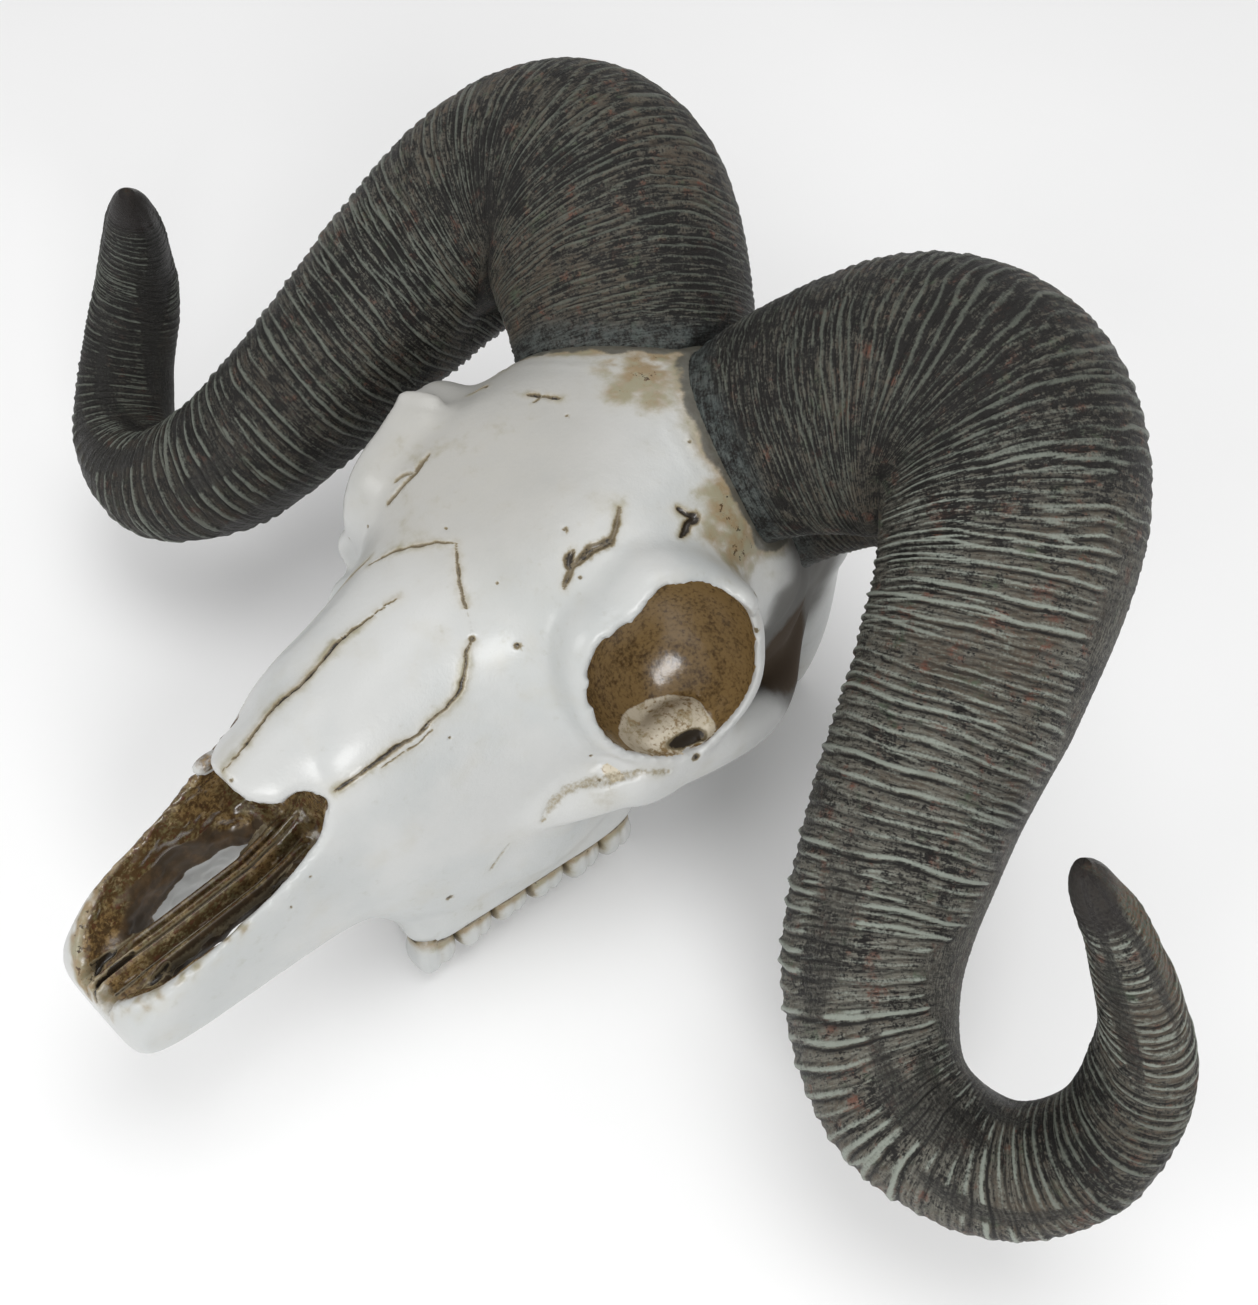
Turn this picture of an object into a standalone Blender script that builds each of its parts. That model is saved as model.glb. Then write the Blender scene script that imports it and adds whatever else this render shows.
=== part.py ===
# Ram skull: a cast resin copy at life size, without its lower jaw. It rests on the tips of its cheek
# teeth and on the two jugular processes at the back. The nose points along -Y, the animal's left is
# +X and up is +Z. Sizes below are millimetres, and place() turns them into metres.
import bpy
import bmesh
import math
from mathutils import Matrix, Vector

MM = 0.001
ORIGIN_Y = 49.25       # added to every y below, so that the finished length is centred on the origin
GAP = 0.3              # clearance left by every parting cut
VOXEL = 2.4            # grain of the fused skull
KEPT_SHARE = 0.054     # share of the fused skull's faces that is kept
ROUNDING_STEPS = 3

# Cross-sections of the skull from the nose back: y, half width, top z, z of the widest point,
# bottom z, squareness above it, squareness below it.
SECTIONS = (
    (-187.0, 14.5, 59.0, 54.0, 49.0, 2.8, 2.6),
    (-183.5, 18.5, 66.0, 55.0, 46.0, 3.2, 3.0),
    (-172.0, 20.5, 76.5, 58.0, 42.0, 3.4, 3.0),
    (-156.0, 21.0, 83.5, 62.0, 38.0, 3.4, 3.0),
    (-140.0, 21.5, 91.5, 64.0, 34.0, 3.2, 2.8),
    (-128.0, 22.5, 99.0, 64.0, 32.0, 3.0, 2.6),
    (-118.0, 25.0, 108.0, 62.0, 31.0, 2.8, 2.6),
    (-109.0, 28.5, 112.5, 60.0, 21.0, 2.6, 3.0),
    (-95.0, 32.5, 117.5, 58.0, 15.0, 2.3, 3.4),
    (-80.0, 36.5, 122.5, 60.0, 14.0, 2.2, 3.4),
    (-66.0, 41.0, 127.0, 70.0, 14.0, 2.3, 3.0),
    (-52.0, 46.5, 131.5, 92.0, 15.0, 2.8, 1.8),
    (-34.0, 51.0, 136.5, 100.0, 20.0, 3.0, 1.5),
    (-18.0, 54.0, 140.0, 102.0, 28.0, 3.0, 1.5),
    (0.0, 50.0, 142.0, 102.0, 34.0, 3.0, 1.7),
    (18.0, 47.0, 140.5, 96.0, 36.0, 2.8, 2.2),
    (36.0, 46.0, 132.0, 84.0, 36.0, 2.4, 2.2),
    (54.0, 40.0, 112.0, 76.0, 36.0, 2.2, 2.2),
    (66.0, 31.0, 96.0, 70.0, 42.0, 2.2, 2.2),
    (72.0, 20.0, 84.0, 68.0, 52.0, 2.2, 2.2),
)
SECTION_SIDES = 40

# Rounded masses added to the sections: centre and half sizes. Paired ones are given for the left side.
MIDDLE_EGGS = {
    "braincase": ((0, 26, 84), (50, 46, 44)),
    "nape_crest": ((0, 66, 92), (30, 8, 12)),
}
PAIRED_EGGS = {
    "brow_knob": ((60, -21, 115), (6, 8, 5)),
    "temple": ((43, 6, 80), (11, 24, 26)),
    "ear_capsule": ((24, 34, 34), (9, 13, 9)),
    "condyle": ((13, 68, 44), (8, 11, 11)),
}

# Rounded hollows cut from below and behind, left side and middle
PAIRED_HOLLOWS = {"cheek_hollow": ((37, -2, 34), (12, 27, 25))}
MIDDLE_HOLLOWS = {"brain_opening": ((0, 77, 56), (9, 11, 9))}

# Bent rods: a point, then the half size sideways and the half size upright
MIDDLE_RODS = {
    "skull_base": (((0, -30, 44), 14, 12), ((0, 10, 42), 14, 10), ((0, 50, 42), 14, 10)),
}
PAIRED_RODS = {
    "cheek_arch": (((42, -70, 62), 5, 7), ((53, -48, 66), 6, 9), ((56, -26, 63), 7, 9),
                   ((57, -6, 58), 6.5, 8.5), ((54, 10, 56), 6.5, 10), ((47, 24, 62), 8, 12),
                   ((40, 36, 66), 10, 14)),
    "jugular_process": (((30, 48, 58), 12, 9), ((30, 52, 34), 8, 7), ((28, 51, 14), 5.5, 6),
                        ((27, 50, -3), 4.5, 4.5)),
    "wing_plate": (((15, -34, 34), 5, 14), ((13, -14, 34), 4, 13), ((11, 6, 38), 4, 8)),
}

# Eye socket: an ellipse in space. ORBIT_ALONG reaches its rear edge, ORBIT_UP its upper edge.
ORBIT_CENTRE = Vector((54.4, -38.3, 100.0))
ORBIT_ALONG = Vector((6.5, 22.5, -2.5))
ORBIT_UP = Vector((-4.8, 1.0, 26.0))
ORBIT_SQUARENESS = 2.15
ORBIT_RIM = 5.5
ORBIT_SIDES = 24
RIM_STEPS = ((-1.5, 1.0, 0.5), (2.0, 1.0, 1.0), (12.0, 1.0, 1.0), (34.0, 0.9, 0.0))    # inward, size, rim share
SOCKET_STEPS = ((-16.0, 1.12), (-2.0, 1.0), (8.0, 1.03), (18.0, 0.94), (26.0, 0.7), (30.0, 0.34))

# Cheek teeth of one side: y of each crown's middle, half length, x, and the height of its tip
TEETH = ((-104.0, 6.5, 22.5, -2.0), (-91.0, 6.0, 24.0, 1.0), (-78.5, 6.0, 25.5, 2.0),
         (-65.5, 6.5, 27.0, 1.5), (-52.0, 6.5, 28.5, -0.5), (-39.0, 6.5, 29.5, -2.0))
TOOTH_HALF_WIDTH = 5.5
TOOTH_ROOT_Z = 26.0
CROWN_STEPS = ((0.0, 0.6, 0.6), (2.5, 0.92, 0.9), (9.0, 1.0, 1.0))    # above the tip, width and length shares

# Nasal bones over the open nose: their tip, the rise of their top line, and (distance back, half width)
NASAL_TIP = Vector((0.0, -137.4, 105.0))
NASAL_RISE = 0.306
NASALS = ((0.0, 5.0), (4.0, 9.5), (10.0, 13.0), (20.0, 16.5), (34.0, 15.0))
NASAL_DEPTH = 9.0

# Trough of the open nose: y, half width at the top, half width at the floor, top z, floor z
TROUGH = ((-182.0, 8.0, 5.0, 90.0, 61.5), (-174.0, 14.0, 9.5, 95.0, 60.5), (-160.0, 16.0, 11.5, 100.0, 60.0),
          (-141.0, 16.5, 12.0, 106.0, 60.5), (-137.0, 16.0, 12.0, 95.0, 61.0), (-127.0, 15.5, 12.0, 91.0, 64.0),
          (-118.0, 12.0, 9.0, 86.0, 69.0))
SEPTUM_HALF_WIDTH = 2.6
SEPTUM_RISE = 4.0

# Slots through the palate, one each side of the septum: x of the inner edge, and y and radius of each end
FISSURE_INNER_X = 3.8
FISSURE_ENDS = ((-134.0, 3.4), (-164.0, 1.6))

# Vault of the palate, hollowed from below: y, half width, ceiling z
PALATE = ((-176.0, 7.0, 46.0), (-166.0, 11.0, 50.0), (-130.0, 13.0, 50.0), (-108.0, 14.0, 42.0),
          (-90.0, 15.0, 32.0), (-50.0, 18.0, 30.0), (-22.0, 18.0, 34.0), (-10.0, 14.0, 38.0))
PALATE_ARCH = 12.0

# Left horn from root to tip: x, y, z of the middle, then the section's two half widths
HORN = (
    (19.0, 24.0, 109.0, 34.5, 34.0),
    (38.0, 38.0, 126.5, 37.5, 36.0),
    (58.0, 48.0, 140.0, 39.5, 36.5),
    (78.0, 50.0, 141.0, 37.5, 36.0),
    (97.0, 36.0, 130.0, 34.0, 32.0),
    (109.0, 10.0, 109.0, 30.0, 29.0),
    (118.0, -20.0, 86.0, 26.0, 27.0),
    (132.0, -49.0, 62.0, 23.0, 23.0),
    (155.0, -64.0, 47.5, 19.5, 20.0),
    (181.0, -60.0, 46.0, 15.8, 18.6),
    (197.0, -47.0, 60.0, 13.0, 17.0),
    (195.0, -37.0, 88.0, 11.2, 15.0),
    (180.0, -38.5, 119.0, 8.0, 10.2),
    (171.0, -40.5, 134.0, 6.2, 7.4),
    (168.5, -41.5, 138.5, 3.2, 3.7),
)
HORN_SIDES = 16
HORN_SQUARENESS = 2.1
HORN_STEPS = 3                       # rings from one row of HORN to the next
HORN_CLEAR_OF_MIDDLE = 2.0           # the two roots stop this far from the middle plane
ROOT_GAP = 0.5                       # clearance round and behind each root
HORN_LEAST_STEP = 0.9                # rings stay this far apart inside a tight bend
HORN_FAN = 3                         # rings on each side that share out a bend
HORN_LENGTHS = {"base": (0, 3), "arch": (3, 5), "drop": (5, 8), "hook": (8, 11), "tip": (11, 14)}

# Parting planes of the skull: a point on each, and the direction called "over" it
PLANES = {
    "nose": (Vector((0, -139.5, 0)), Vector((0, 1, 0))),
    "nasal": (Vector((0, -118, 95.5)), Vector((0, -25.4, 54))),
    "face": (Vector((0, -64, 127)), Vector((0, 107, 37))),
    "brow": (Vector((0, 0, 98)), Vector((0, 0, 1))),
    "middle": (Vector((0, 0, 0)), Vector((1, 0, 0))),
    "cheek_left": (Vector((40, 0, 0)), Vector((1, 0, 0))),
    "cheek_right": (Vector((-40, 0, 0)), Vector((-1, 0, 0))),
    "nape": (Vector((0, 40, 0)), Vector((0, 1, 0))),
    "ground": (Vector((0, 0, GAP / 2)), Vector((0, 0, 1))),
    "horn_left": (Vector((HORN_CLEAR_OF_MIDDLE, 0, 0)), Vector((1, 0, 0))),
    "horn_right": (Vector((-HORN_CLEAR_OF_MIDDLE, 0, 0)), Vector((-1, 0, 0))),
    "seat_left": (Vector((HORN_CLEAR_OF_MIDDLE - ROOT_GAP, 0, 0)), Vector((1, 0, 0))),
    "seat_right": (Vector((ROOT_GAP - HORN_CLEAR_OF_MIDDLE, 0, 0)), Vector((-1, 0, 0))),
}
OVER, UNDER = 1, -1
SIDE_WORD = {1: "left", -1: "right"}
SKULL_NODES = {
    "premaxilla_left": (("nose", UNDER), ("middle", OVER)),
    "premaxilla_right": (("nose", UNDER), ("middle", UNDER)),
    "nasal_left": (("nose", OVER), ("nasal", OVER), ("face", UNDER), ("middle", OVER)),
    "nasal_right": (("nose", OVER), ("nasal", OVER), ("face", UNDER), ("middle", UNDER)),
    "maxilla_left": (("nose", OVER), ("nasal", UNDER), ("face", UNDER), ("middle", OVER)),
    "maxilla_right": (("nose", OVER), ("nasal", UNDER), ("face", UNDER), ("middle", UNDER)),
    "forehead": (("face", OVER), ("brow", OVER)),
    "cheekbone_left": (("face", OVER), ("brow", UNDER), ("cheek_left", OVER)),
    "cheekbone_right": (("face", OVER), ("brow", UNDER), ("cheek_right", OVER)),
    "braincase": (("face", OVER), ("brow", UNDER), ("cheek_left", UNDER), ("cheek_right", UNDER),
                  ("nape", UNDER)),
    "occiput": (("brow", UNDER), ("cheek_left", UNDER), ("cheek_right", UNDER), ("nape", OVER)),
}
REACH = 400.0          # half size of the block that a region is cut from

BONE = (0.80, 0.80, 0.77, 1.0)
HORN_GREY = (0.045, 0.047, 0.040, 1.0)


def material(name, colour, roughness):
    made = bpy.data.materials.new(name)
    made.use_nodes = True
    shader = made.node_tree.nodes["Principled BSDF"]
    shader.inputs["Base Color"].default_value = colour
    shader.inputs["Roughness"].default_value = roughness
    shader.inputs["Metallic"].default_value = 0.0
    return made


def add_object(name, bm, finish=None):
    bmesh.ops.recalc_face_normals(bm, faces=bm.faces)
    mesh = bpy.data.meshes.new(name)
    bm.to_mesh(mesh)
    bm.free()
    made = bpy.data.objects.new(name, mesh)
    bpy.context.collection.objects.link(made)
    if finish:
        mesh.materials.append(finish)
    return made


def place(point):
    x, y, z = point
    return Vector((x, y + ORIGIN_Y, z)) * MM


def mirrored(point, side):
    x, y, z = point
    return (side * x, y, z)


def skin(bm, rings, fanned=False):
    """Bridge rings of points into one closed shell. Ends that aren't quite flat are fanned."""
    rows = [[bm.verts.new(place(point)) for point in ring] for ring in rings]
    count = len(rows[0])
    for lower, upper in zip(rows, rows[1:]):
        for i in range(count):
            j = (i + 1) % count
            bm.faces.new((lower[i], lower[j], upper[j], upper[i]))
    for row in (rows[0], rows[-1]):
        if fanned:
            hub = bm.verts.new(sum((vert.co for vert in row), Vector()) / count)
            for i in range(count):
                bm.faces.new((row[i], row[(i + 1) % count], hub))
        else:
            bm.faces.new(row)


def egg(bm, centre, radii):
    matrix = Matrix.Translation(place(centre)) @ Matrix.Diagonal([r * MM for r in radii] + [1.0])
    bmesh.ops.create_uvsphere(bm, u_segments=20, v_segments=12, radius=1.0, matrix=matrix)


def oval(centre, across, up, half_across, half_up, sides, squareness=2.0):
    """A ring of points on a superellipse spanned by two directions."""
    ring = []
    for i in range(sides):
        angle = 2 * math.pi * i / sides
        c, s = math.cos(angle), math.sin(angle)
        a = math.copysign(abs(c) ** (2 / squareness), c) * half_across
        b = math.copysign(abs(s) ** (2 / squareness), s) * half_up
        ring.append(centre + across * a + up * b)
    return ring


def tangents(points):
    last = len(points) - 1
    return [(points[min(i + 1, last)] - points[max(i - 1, 0)]).normalized() for i in range(len(points))]


def rod(bm, stops, side=1, sides=14):
    points = [Vector(mirrored(stop[0], side)) for stop in stops]
    rings = []
    for point, tangent, (_, half_side, half_up) in zip(points, tangents(points), stops):
        across = tangent.cross(Vector((0.0, 0.0, 1.0)))
        if across.length < 0.5:          # a rod that runs nearly upright
            across = Vector((1.0, 0.0, 0.0))
        across = (across - tangent * across.dot(tangent)).normalized()
        rings.append(oval(point, across, tangent.cross(across), half_side, half_up, sides))
    skin(bm, rings)


def between_rows(rows, steps):
    """Catmull-Rom rows between the rows of a table, so many steps from each row to the next."""
    out = []
    last = len(rows) - 1
    for i in range(last):
        four = [rows[min(max(i + k, 0), last)] for k in (-1, 0, 1, 2)]
        for step in range(steps):
            t = step / steps
            out.append(tuple(
                0.5 * (2 * b + (c - a) * t + (2 * a - 5 * b + 4 * c - d) * t * t
                       + (3 * b - a - 3 * c + d) * t ** 3)
                for a, b, c, d in zip(*four)))
    out.append(tuple(rows[last]))
    return out


def section_rings():
    rings = []
    for y, half, top, middle, bottom, above, below in between_rows(SECTIONS, 3):
        ring = []
        for i in range(SECTION_SIDES):
            angle = 2 * math.pi * i / SECTION_SIDES
            c, s = math.cos(angle), math.sin(angle)
            squareness = above if s > 0 else below
            tall = top - middle if s > 0 else middle - bottom
            ring.append((math.copysign(abs(c) ** (2 / squareness), c) * half, y,
                         middle + math.copysign(abs(s) ** (2 / squareness), s) * tall))
        rings.append(ring)
    return rings


def orbit_ring(side, inward, size, rim=0.0):
    """The socket's outline, moved inward along its own axis, resized and widened by a rim."""
    axis = ORBIT_ALONG.cross(ORBIT_UP).normalized()
    ring = oval(ORBIT_CENTRE - axis * inward, ORBIT_ALONG, ORBIT_UP, size + rim / ORBIT_ALONG.length,
                size + rim / ORBIT_UP.length, ORBIT_SIDES, ORBIT_SQUARENESS)
    return [mirrored(point, side) for point in ring]


def tooth(bm, side, y, half, x, tip):
    levels = [(tip + rise, wide, long) for rise, wide, long in CROWN_STEPS] + [(TOOTH_ROOT_Z, 1.0, 1.0)]
    skin(bm, [oval(Vector((side * x, y, z)), Vector((1, 0, 0)), Vector((0, 1, 0)),
                   TOOTH_HALF_WIDTH * wide, half * long, 12, 3.0) for z, wide, long in levels])


def nasal_bones(bm):
    rings = []
    for back, half in NASALS:
        top = NASAL_TIP + Vector((0.0, back, back * NASAL_RISE))
        tall = NASAL_DEPTH * (0.6 + 0.4 * half / 15.0)
        rings.append(oval(top - Vector((0, 0, tall)), Vector((1, 0, 0)), Vector((0, 0, 1)), half, tall, 24))
    skin(bm, rings)


def whole_skull():
    """Every mass as an overlapping shell, fused into one skin by a remesh, rounded and thinned."""
    bm = bmesh.new()
    skin(bm, section_rings())
    nasal_bones(bm)
    for centre, radii in MIDDLE_EGGS.values():
        egg(bm, centre, radii)
    for stops in MIDDLE_RODS.values():
        rod(bm, stops)
    for side in (1, -1):
        skin(bm, [orbit_ring(side, inward, size, ORBIT_RIM * share) for inward, size, share in RIM_STEPS])
        for centre, radii in PAIRED_EGGS.values():
            egg(bm, mirrored(centre, side), radii)
        for stops in PAIRED_RODS.values():
            rod(bm, stops, side)
        for y, half, x, tip in TEETH:
            tooth(bm, side, y, half, x, tip)
    skull = add_object("whole_skull", bm)
    fuse = skull.modifiers.new("fuse", "REMESH")
    fuse.mode = "VOXEL"
    fuse.voxel_size = VOXEL * MM
    rounding = skull.modifiers.new("round", "SMOOTH")
    rounding.factor = 0.5
    rounding.iterations = ROUNDING_STEPS
    thin = skull.modifiers.new("thin", "DECIMATE")
    thin.ratio = KEPT_SHARE
    bake(skull)
    return guide(skull)


def guide(obj):
    """A cutter or a blank: shown as wire and no part of the finished model."""
    obj.hide_render = True
    obj.display_type = "WIRE"
    return obj


def bake(obj):
    """Turn an object's modifiers into its mesh."""
    graph = bpy.context.evaluated_depsgraph_get()
    mesh = bpy.data.meshes.new_from_object(obj.evaluated_get(graph))
    obj.modifiers.clear()
    obj.data = mesh


def combine(obj, other, operation):
    step = obj.modifiers.new(operation.lower(), "BOOLEAN")
    step.object = other
    step.operation = operation
    step.solver = "EXACT"
    bake(obj)
    bpy.data.objects.remove(other, do_unlink=True)


def socket_cutter(side):
    bm = bmesh.new()
    skin(bm, [orbit_ring(side, inward, size) for inward, size in SOCKET_STEPS])
    return guide(add_object("socket_cutter", bm))


def hollow_cutter(centre, radii):
    bm = bmesh.new()
    egg(bm, centre, radii)
    return guide(add_object("hollow_cutter", bm))


def trough_cutter():
    bm = bmesh.new()
    rings = []
    for y, wide, narrow, top, floor in TROUGH:
        half = [(wide, y, top), (narrow, y, floor), (SEPTUM_HALF_WIDTH + 0.8, y, floor),
                (SEPTUM_HALF_WIDTH, y, floor + SEPTUM_RISE)]
        rings.append(half + [(-x, y, z) for x, y, z in reversed(half)])
    skin(bm, rings)
    return guide(add_object("trough_cutter", bm))


def fissure_cutter(side):
    """A tapered slot with two round ends, upright through the palate."""
    outline = []
    for (y, radius), turn in zip(FISSURE_ENDS, (0.0, math.pi)):
        for i in range(9):
            angle = turn + math.pi * i / 8
            outline.append((side * (FISSURE_INNER_X + radius + radius * math.cos(angle)),
                            y + radius * math.sin(angle)))
    bm = bmesh.new()
    skin(bm, [[(x, y, z) for x, y in outline] for z in (20.0, 75.0)])
    return guide(add_object("fissure_cutter", bm))


def palate_cutter():
    bm = bmesh.new()
    rings = []
    for y, half, ceiling in PALATE:
        arch = [(half * math.cos(math.pi * i / 8), y,
                 ceiling - PALATE_ARCH + PALATE_ARCH * math.sin(math.pi * i / 8)) for i in range(9)]
        rings.append(arch + [(-half - 1, y, -20.0), (half + 1, y, -20.0)])
    skin(bm, rings)
    return guide(add_object("palate_cutter", bm))


def middle_of(ring):
    return sum(ring, Vector()) / len(ring)


def horn_directions(points):
    """Ring directions along the horn, with each bend shared out over its neighbours like a fan."""
    raw = tangents(points)
    last = len(raw) - 1
    return [sum((raw[min(max(i + k, 0), last)] for k in range(-HORN_FAN, HORN_FAN + 1)), Vector()).normalized()
            for i in range(last + 1)]


def horn_rings(side):
    """Rings along one horn, each kept ahead of the one before it."""
    rows = between_rows(HORN, HORN_STEPS)
    points = [Vector(row[:3]) for row in rows]
    across = Vector((1.0, 0.0, 0.0))
    rings = []
    for i, (point, ahead, row) in enumerate(zip(points, horn_directions(points), rows)):
        across = (across - ahead * across.dot(ahead)).normalized()
        ring = oval(point, across, ahead.cross(across), row[3], row[4], HORN_SIDES, HORN_SQUARENESS)
        if i > 0:
            short = [HORN_LEAST_STEP - (p - q).dot(ahead) for p, q in zip(ring, before)]
            ring = [p + ahead * max(lack, 0.0) for p, lack in zip(ring, short)]
        before = ring
        rings.append([Vector(mirrored(p, side)) for p in ring])
    return rings


def horn_root_cutter(side):
    """The horn's first length with a gap round it, for its seat in the skull."""
    rings = horn_rings(side)[:HORN_LENGTHS["base"][1] * HORN_STEPS + 1]
    deeper = (middle_of(rings[0]) - middle_of(rings[1])).normalized() * ROOT_GAP
    wide = [[p + (p - middle_of(ring)).normalized() * ROOT_GAP for p in ring] for ring in rings]
    wide[0] = [p + deeper for p in wide[0]]
    bm = bmesh.new()
    skin(bm, wide)
    cutter = guide(add_object("horn_root_cutter", bm))
    combine(cutter, region("seat_region", (("seat_" + SIDE_WORD[side], OVER),)), "INTERSECT")
    return cutter


def add_horn(side, finish):
    rings = horn_rings(side)
    word = SIDE_WORD[side]
    for name, (first, last) in HORN_LENGTHS.items():
        part = rings[first * HORN_STEPS:last * HORN_STEPS + 1]
        if first > 0:                    # step back from the length before it by the parting gap
            step = (middle_of(part[1]) - middle_of(part[0])).normalized() * GAP
            part[0] = [p + step for p in part[0]]
        bm = bmesh.new()
        skin(bm, part, fanned=True)
        length = add_object("horn_" + word + "_" + name, bm, finish)
        if first == 0:
            combine(length, region("horn_region", (("horn_" + word, OVER),)), "INTERSECT")


def region(name, bounds):
    """A block cut down by planes, each kept half a gap away from its neighbour across the plane."""
    bm = bmesh.new()
    bmesh.ops.create_cube(bm, size=2 * REACH * MM)
    for plane, way in bounds:
        point, over = PLANES[plane]
        outward = over.normalized() * -way
        where = place(point) - outward * GAP * MM / 2
        cut = bmesh.ops.bisect_plane(bm, geom=bm.verts[:] + bm.edges[:] + bm.faces[:], plane_co=where,
                                     plane_no=outward, clear_outer=True)
        edges = [part for part in cut["geom_cut"] if isinstance(part, bmesh.types.BMEdge)]
        bmesh.ops.contextual_create(bm, geom=edges)
    return guide(add_object(name, bm))


def keep_largest_body(obj):
    """Drop crumbs that a parting plane leaves beside the main body."""
    bm = bmesh.new()
    bm.from_mesh(obj.data)
    bmesh.ops.remove_doubles(bm, verts=bm.verts, dist=0.02 * MM)
    bodies = []
    seen = set()
    for start in bm.faces:
        if start in seen:
            continue
        body = [start]
        seen.add(start)
        for face in body:
            for edge in face.edges:
                for near in edge.link_faces:
                    if near not in seen:
                        seen.add(near)
                        body.append(near)
        bodies.append(body)
    bodies.sort(key=len, reverse=True)
    crumbs = [face for body in bodies[1:] for face in body]
    bmesh.ops.delete(bm, geom=crumbs, context="FACES")
    bm.to_mesh(obj.data)
    bm.free()


def part_skull(skull, finish):
    for name, bounds in SKULL_NODES.items():
        node = bpy.data.objects.new(name, skull.data.copy())
        bpy.context.collection.objects.link(node)
        combine(node, region(name + "_region", bounds), "INTERSECT")
        keep_largest_body(node)
        node.data.materials.clear()
        node.data.materials.append(finish)


def main():
    for old in list(bpy.data.objects):
        bpy.data.objects.remove(old, do_unlink=True)
    bone = material("bone_white", BONE, 0.35)
    grey = material("horn_grey", HORN_GREY, 0.55)
    skull = whole_skull()
    combine(skull, region("ground_region", (("ground", UNDER),)), "DIFFERENCE")    # flats to stand on
    combine(skull, trough_cutter(), "DIFFERENCE")
    combine(skull, palate_cutter(), "DIFFERENCE")
    for centre, radii in MIDDLE_HOLLOWS.values():
        combine(skull, hollow_cutter(centre, radii), "DIFFERENCE")
    for side in (1, -1):
        combine(skull, socket_cutter(side), "DIFFERENCE")
        combine(skull, fissure_cutter(side), "DIFFERENCE")
        for centre, radii in PAIRED_HOLLOWS.values():
            combine(skull, hollow_cutter(mirrored(centre, side), radii), "DIFFERENCE")
        combine(skull, horn_root_cutter(side), "DIFFERENCE")
    part_skull(skull, bone)
    add_horn(1, grey)
    add_horn(-1, grey)
    bpy.data.objects.remove(skull, do_unlink=True)


main()
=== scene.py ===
import math
import random

import bpy
import numpy as np
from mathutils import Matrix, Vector, noise
from mathutils.bvhtree import BVHTree
from mathutils.kdtree import KDTree


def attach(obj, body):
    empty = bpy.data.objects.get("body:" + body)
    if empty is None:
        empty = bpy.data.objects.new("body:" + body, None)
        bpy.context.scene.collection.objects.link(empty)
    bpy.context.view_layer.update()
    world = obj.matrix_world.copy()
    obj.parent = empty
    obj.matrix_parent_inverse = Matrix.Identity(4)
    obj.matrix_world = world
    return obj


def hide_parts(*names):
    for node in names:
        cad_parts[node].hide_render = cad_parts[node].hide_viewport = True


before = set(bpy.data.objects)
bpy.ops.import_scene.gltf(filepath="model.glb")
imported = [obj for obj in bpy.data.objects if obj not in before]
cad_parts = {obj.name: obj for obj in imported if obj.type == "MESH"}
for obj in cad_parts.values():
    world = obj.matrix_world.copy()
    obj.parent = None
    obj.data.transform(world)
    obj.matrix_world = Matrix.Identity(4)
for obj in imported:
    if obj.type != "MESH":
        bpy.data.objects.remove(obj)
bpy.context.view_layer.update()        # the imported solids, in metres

# All tables below are in millimetres, with the nose along -Y, the animal's left at +X and up +Z.
mm = 0.001
lengthShift = 49.25      # the solids are shifted this far along Y
noise.seed_set(31)       # otherwise noise_vector starts from the clock


def place(point):
    x, y, z = point
    return Vector((x, y + lengthShift, z)) * mm


def placeAll(points):
    return (np.asarray(points) + (0.0, lengthShift, 0.0)) * mm


def inMillimetres(points):
    return points / mm - (0.0, lengthShift, 0.0)


def mirrored(point, side):
    x, y, z = point
    return (side * x, y, z)


def folded(points):
    # both sides laid on the left one
    return np.concatenate((np.abs(points[:, :1]), points[:, 1:]), axis=1)


def pick(*objects):
    bpy.ops.object.select_all(action="DESELECT")
    for obj in objects:
        obj.select_set(True)
    bpy.context.view_layer.objects.active = objects[0]


def applyModifiers(obj):
    pick(obj)
    for modifier in list(obj.modifiers):
        bpy.ops.object.modifier_apply(modifier=modifier.name)


def joined(objects, name):
    pick(*objects)
    if len(objects) > 1:
        bpy.ops.object.join()
    obj = bpy.context.object
    obj.name = obj.data.name = name
    return obj


def inEditMode(obj, **steps):
    # each keyword is an edit mode operator, and its value holds the options
    pick(obj)
    bpy.ops.object.mode_set(mode="EDIT")
    for name, options in steps.items():
        getattr(bpy.ops.mesh, name)(**options)
    bpy.ops.object.mode_set(mode="OBJECT")


def cleanShell(obj):
    inEditMode(obj, select_all={"action": "SELECT"}, remove_doubles={"threshold": 0.000002},
               normals_make_consistent={"inside": False})


def settle(obj):
    # the object goes to the origin and its place goes into the mesh
    pick(obj)
    bpy.ops.object.transform_apply(location=True, rotation=True, scale=True)
    return obj


def vertexArray(obj, field="co"):
    flat = np.empty(len(obj.data.vertices) * 3)
    obj.data.vertices.foreach_get(field, flat)
    return flat.reshape(-1, 3)


def pointsOf(obj):
    return inMillimetres(vertexArray(obj))


def setPoints(obj, points):
    obj.data.vertices.foreach_set("co", placeAll(points).ravel())
    obj.data.update()


def paintValues(obj, **values):
    for name, value in values.items():
        layer = obj.data.attributes.new(name, "FLOAT", "POINT")
        layer.data.foreach_set("value", np.ascontiguousarray(value, dtype=np.float32))


def smoothStep(low, high, values):
    t = np.clip((values - low) / (high - low), 0.0, 1.0)
    return t * t * (3 - 2 * t)


def hump(distance, width):
    return np.exp(-(distance / width) ** 2)


def treeOf(obj):
    obj.data.calc_loop_triangles()
    points = [vertex.co for vertex in obj.data.vertices]
    return BVHTree.FromPolygons(points, [tri.vertices[:] for tri in obj.data.loop_triangles])


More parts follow.
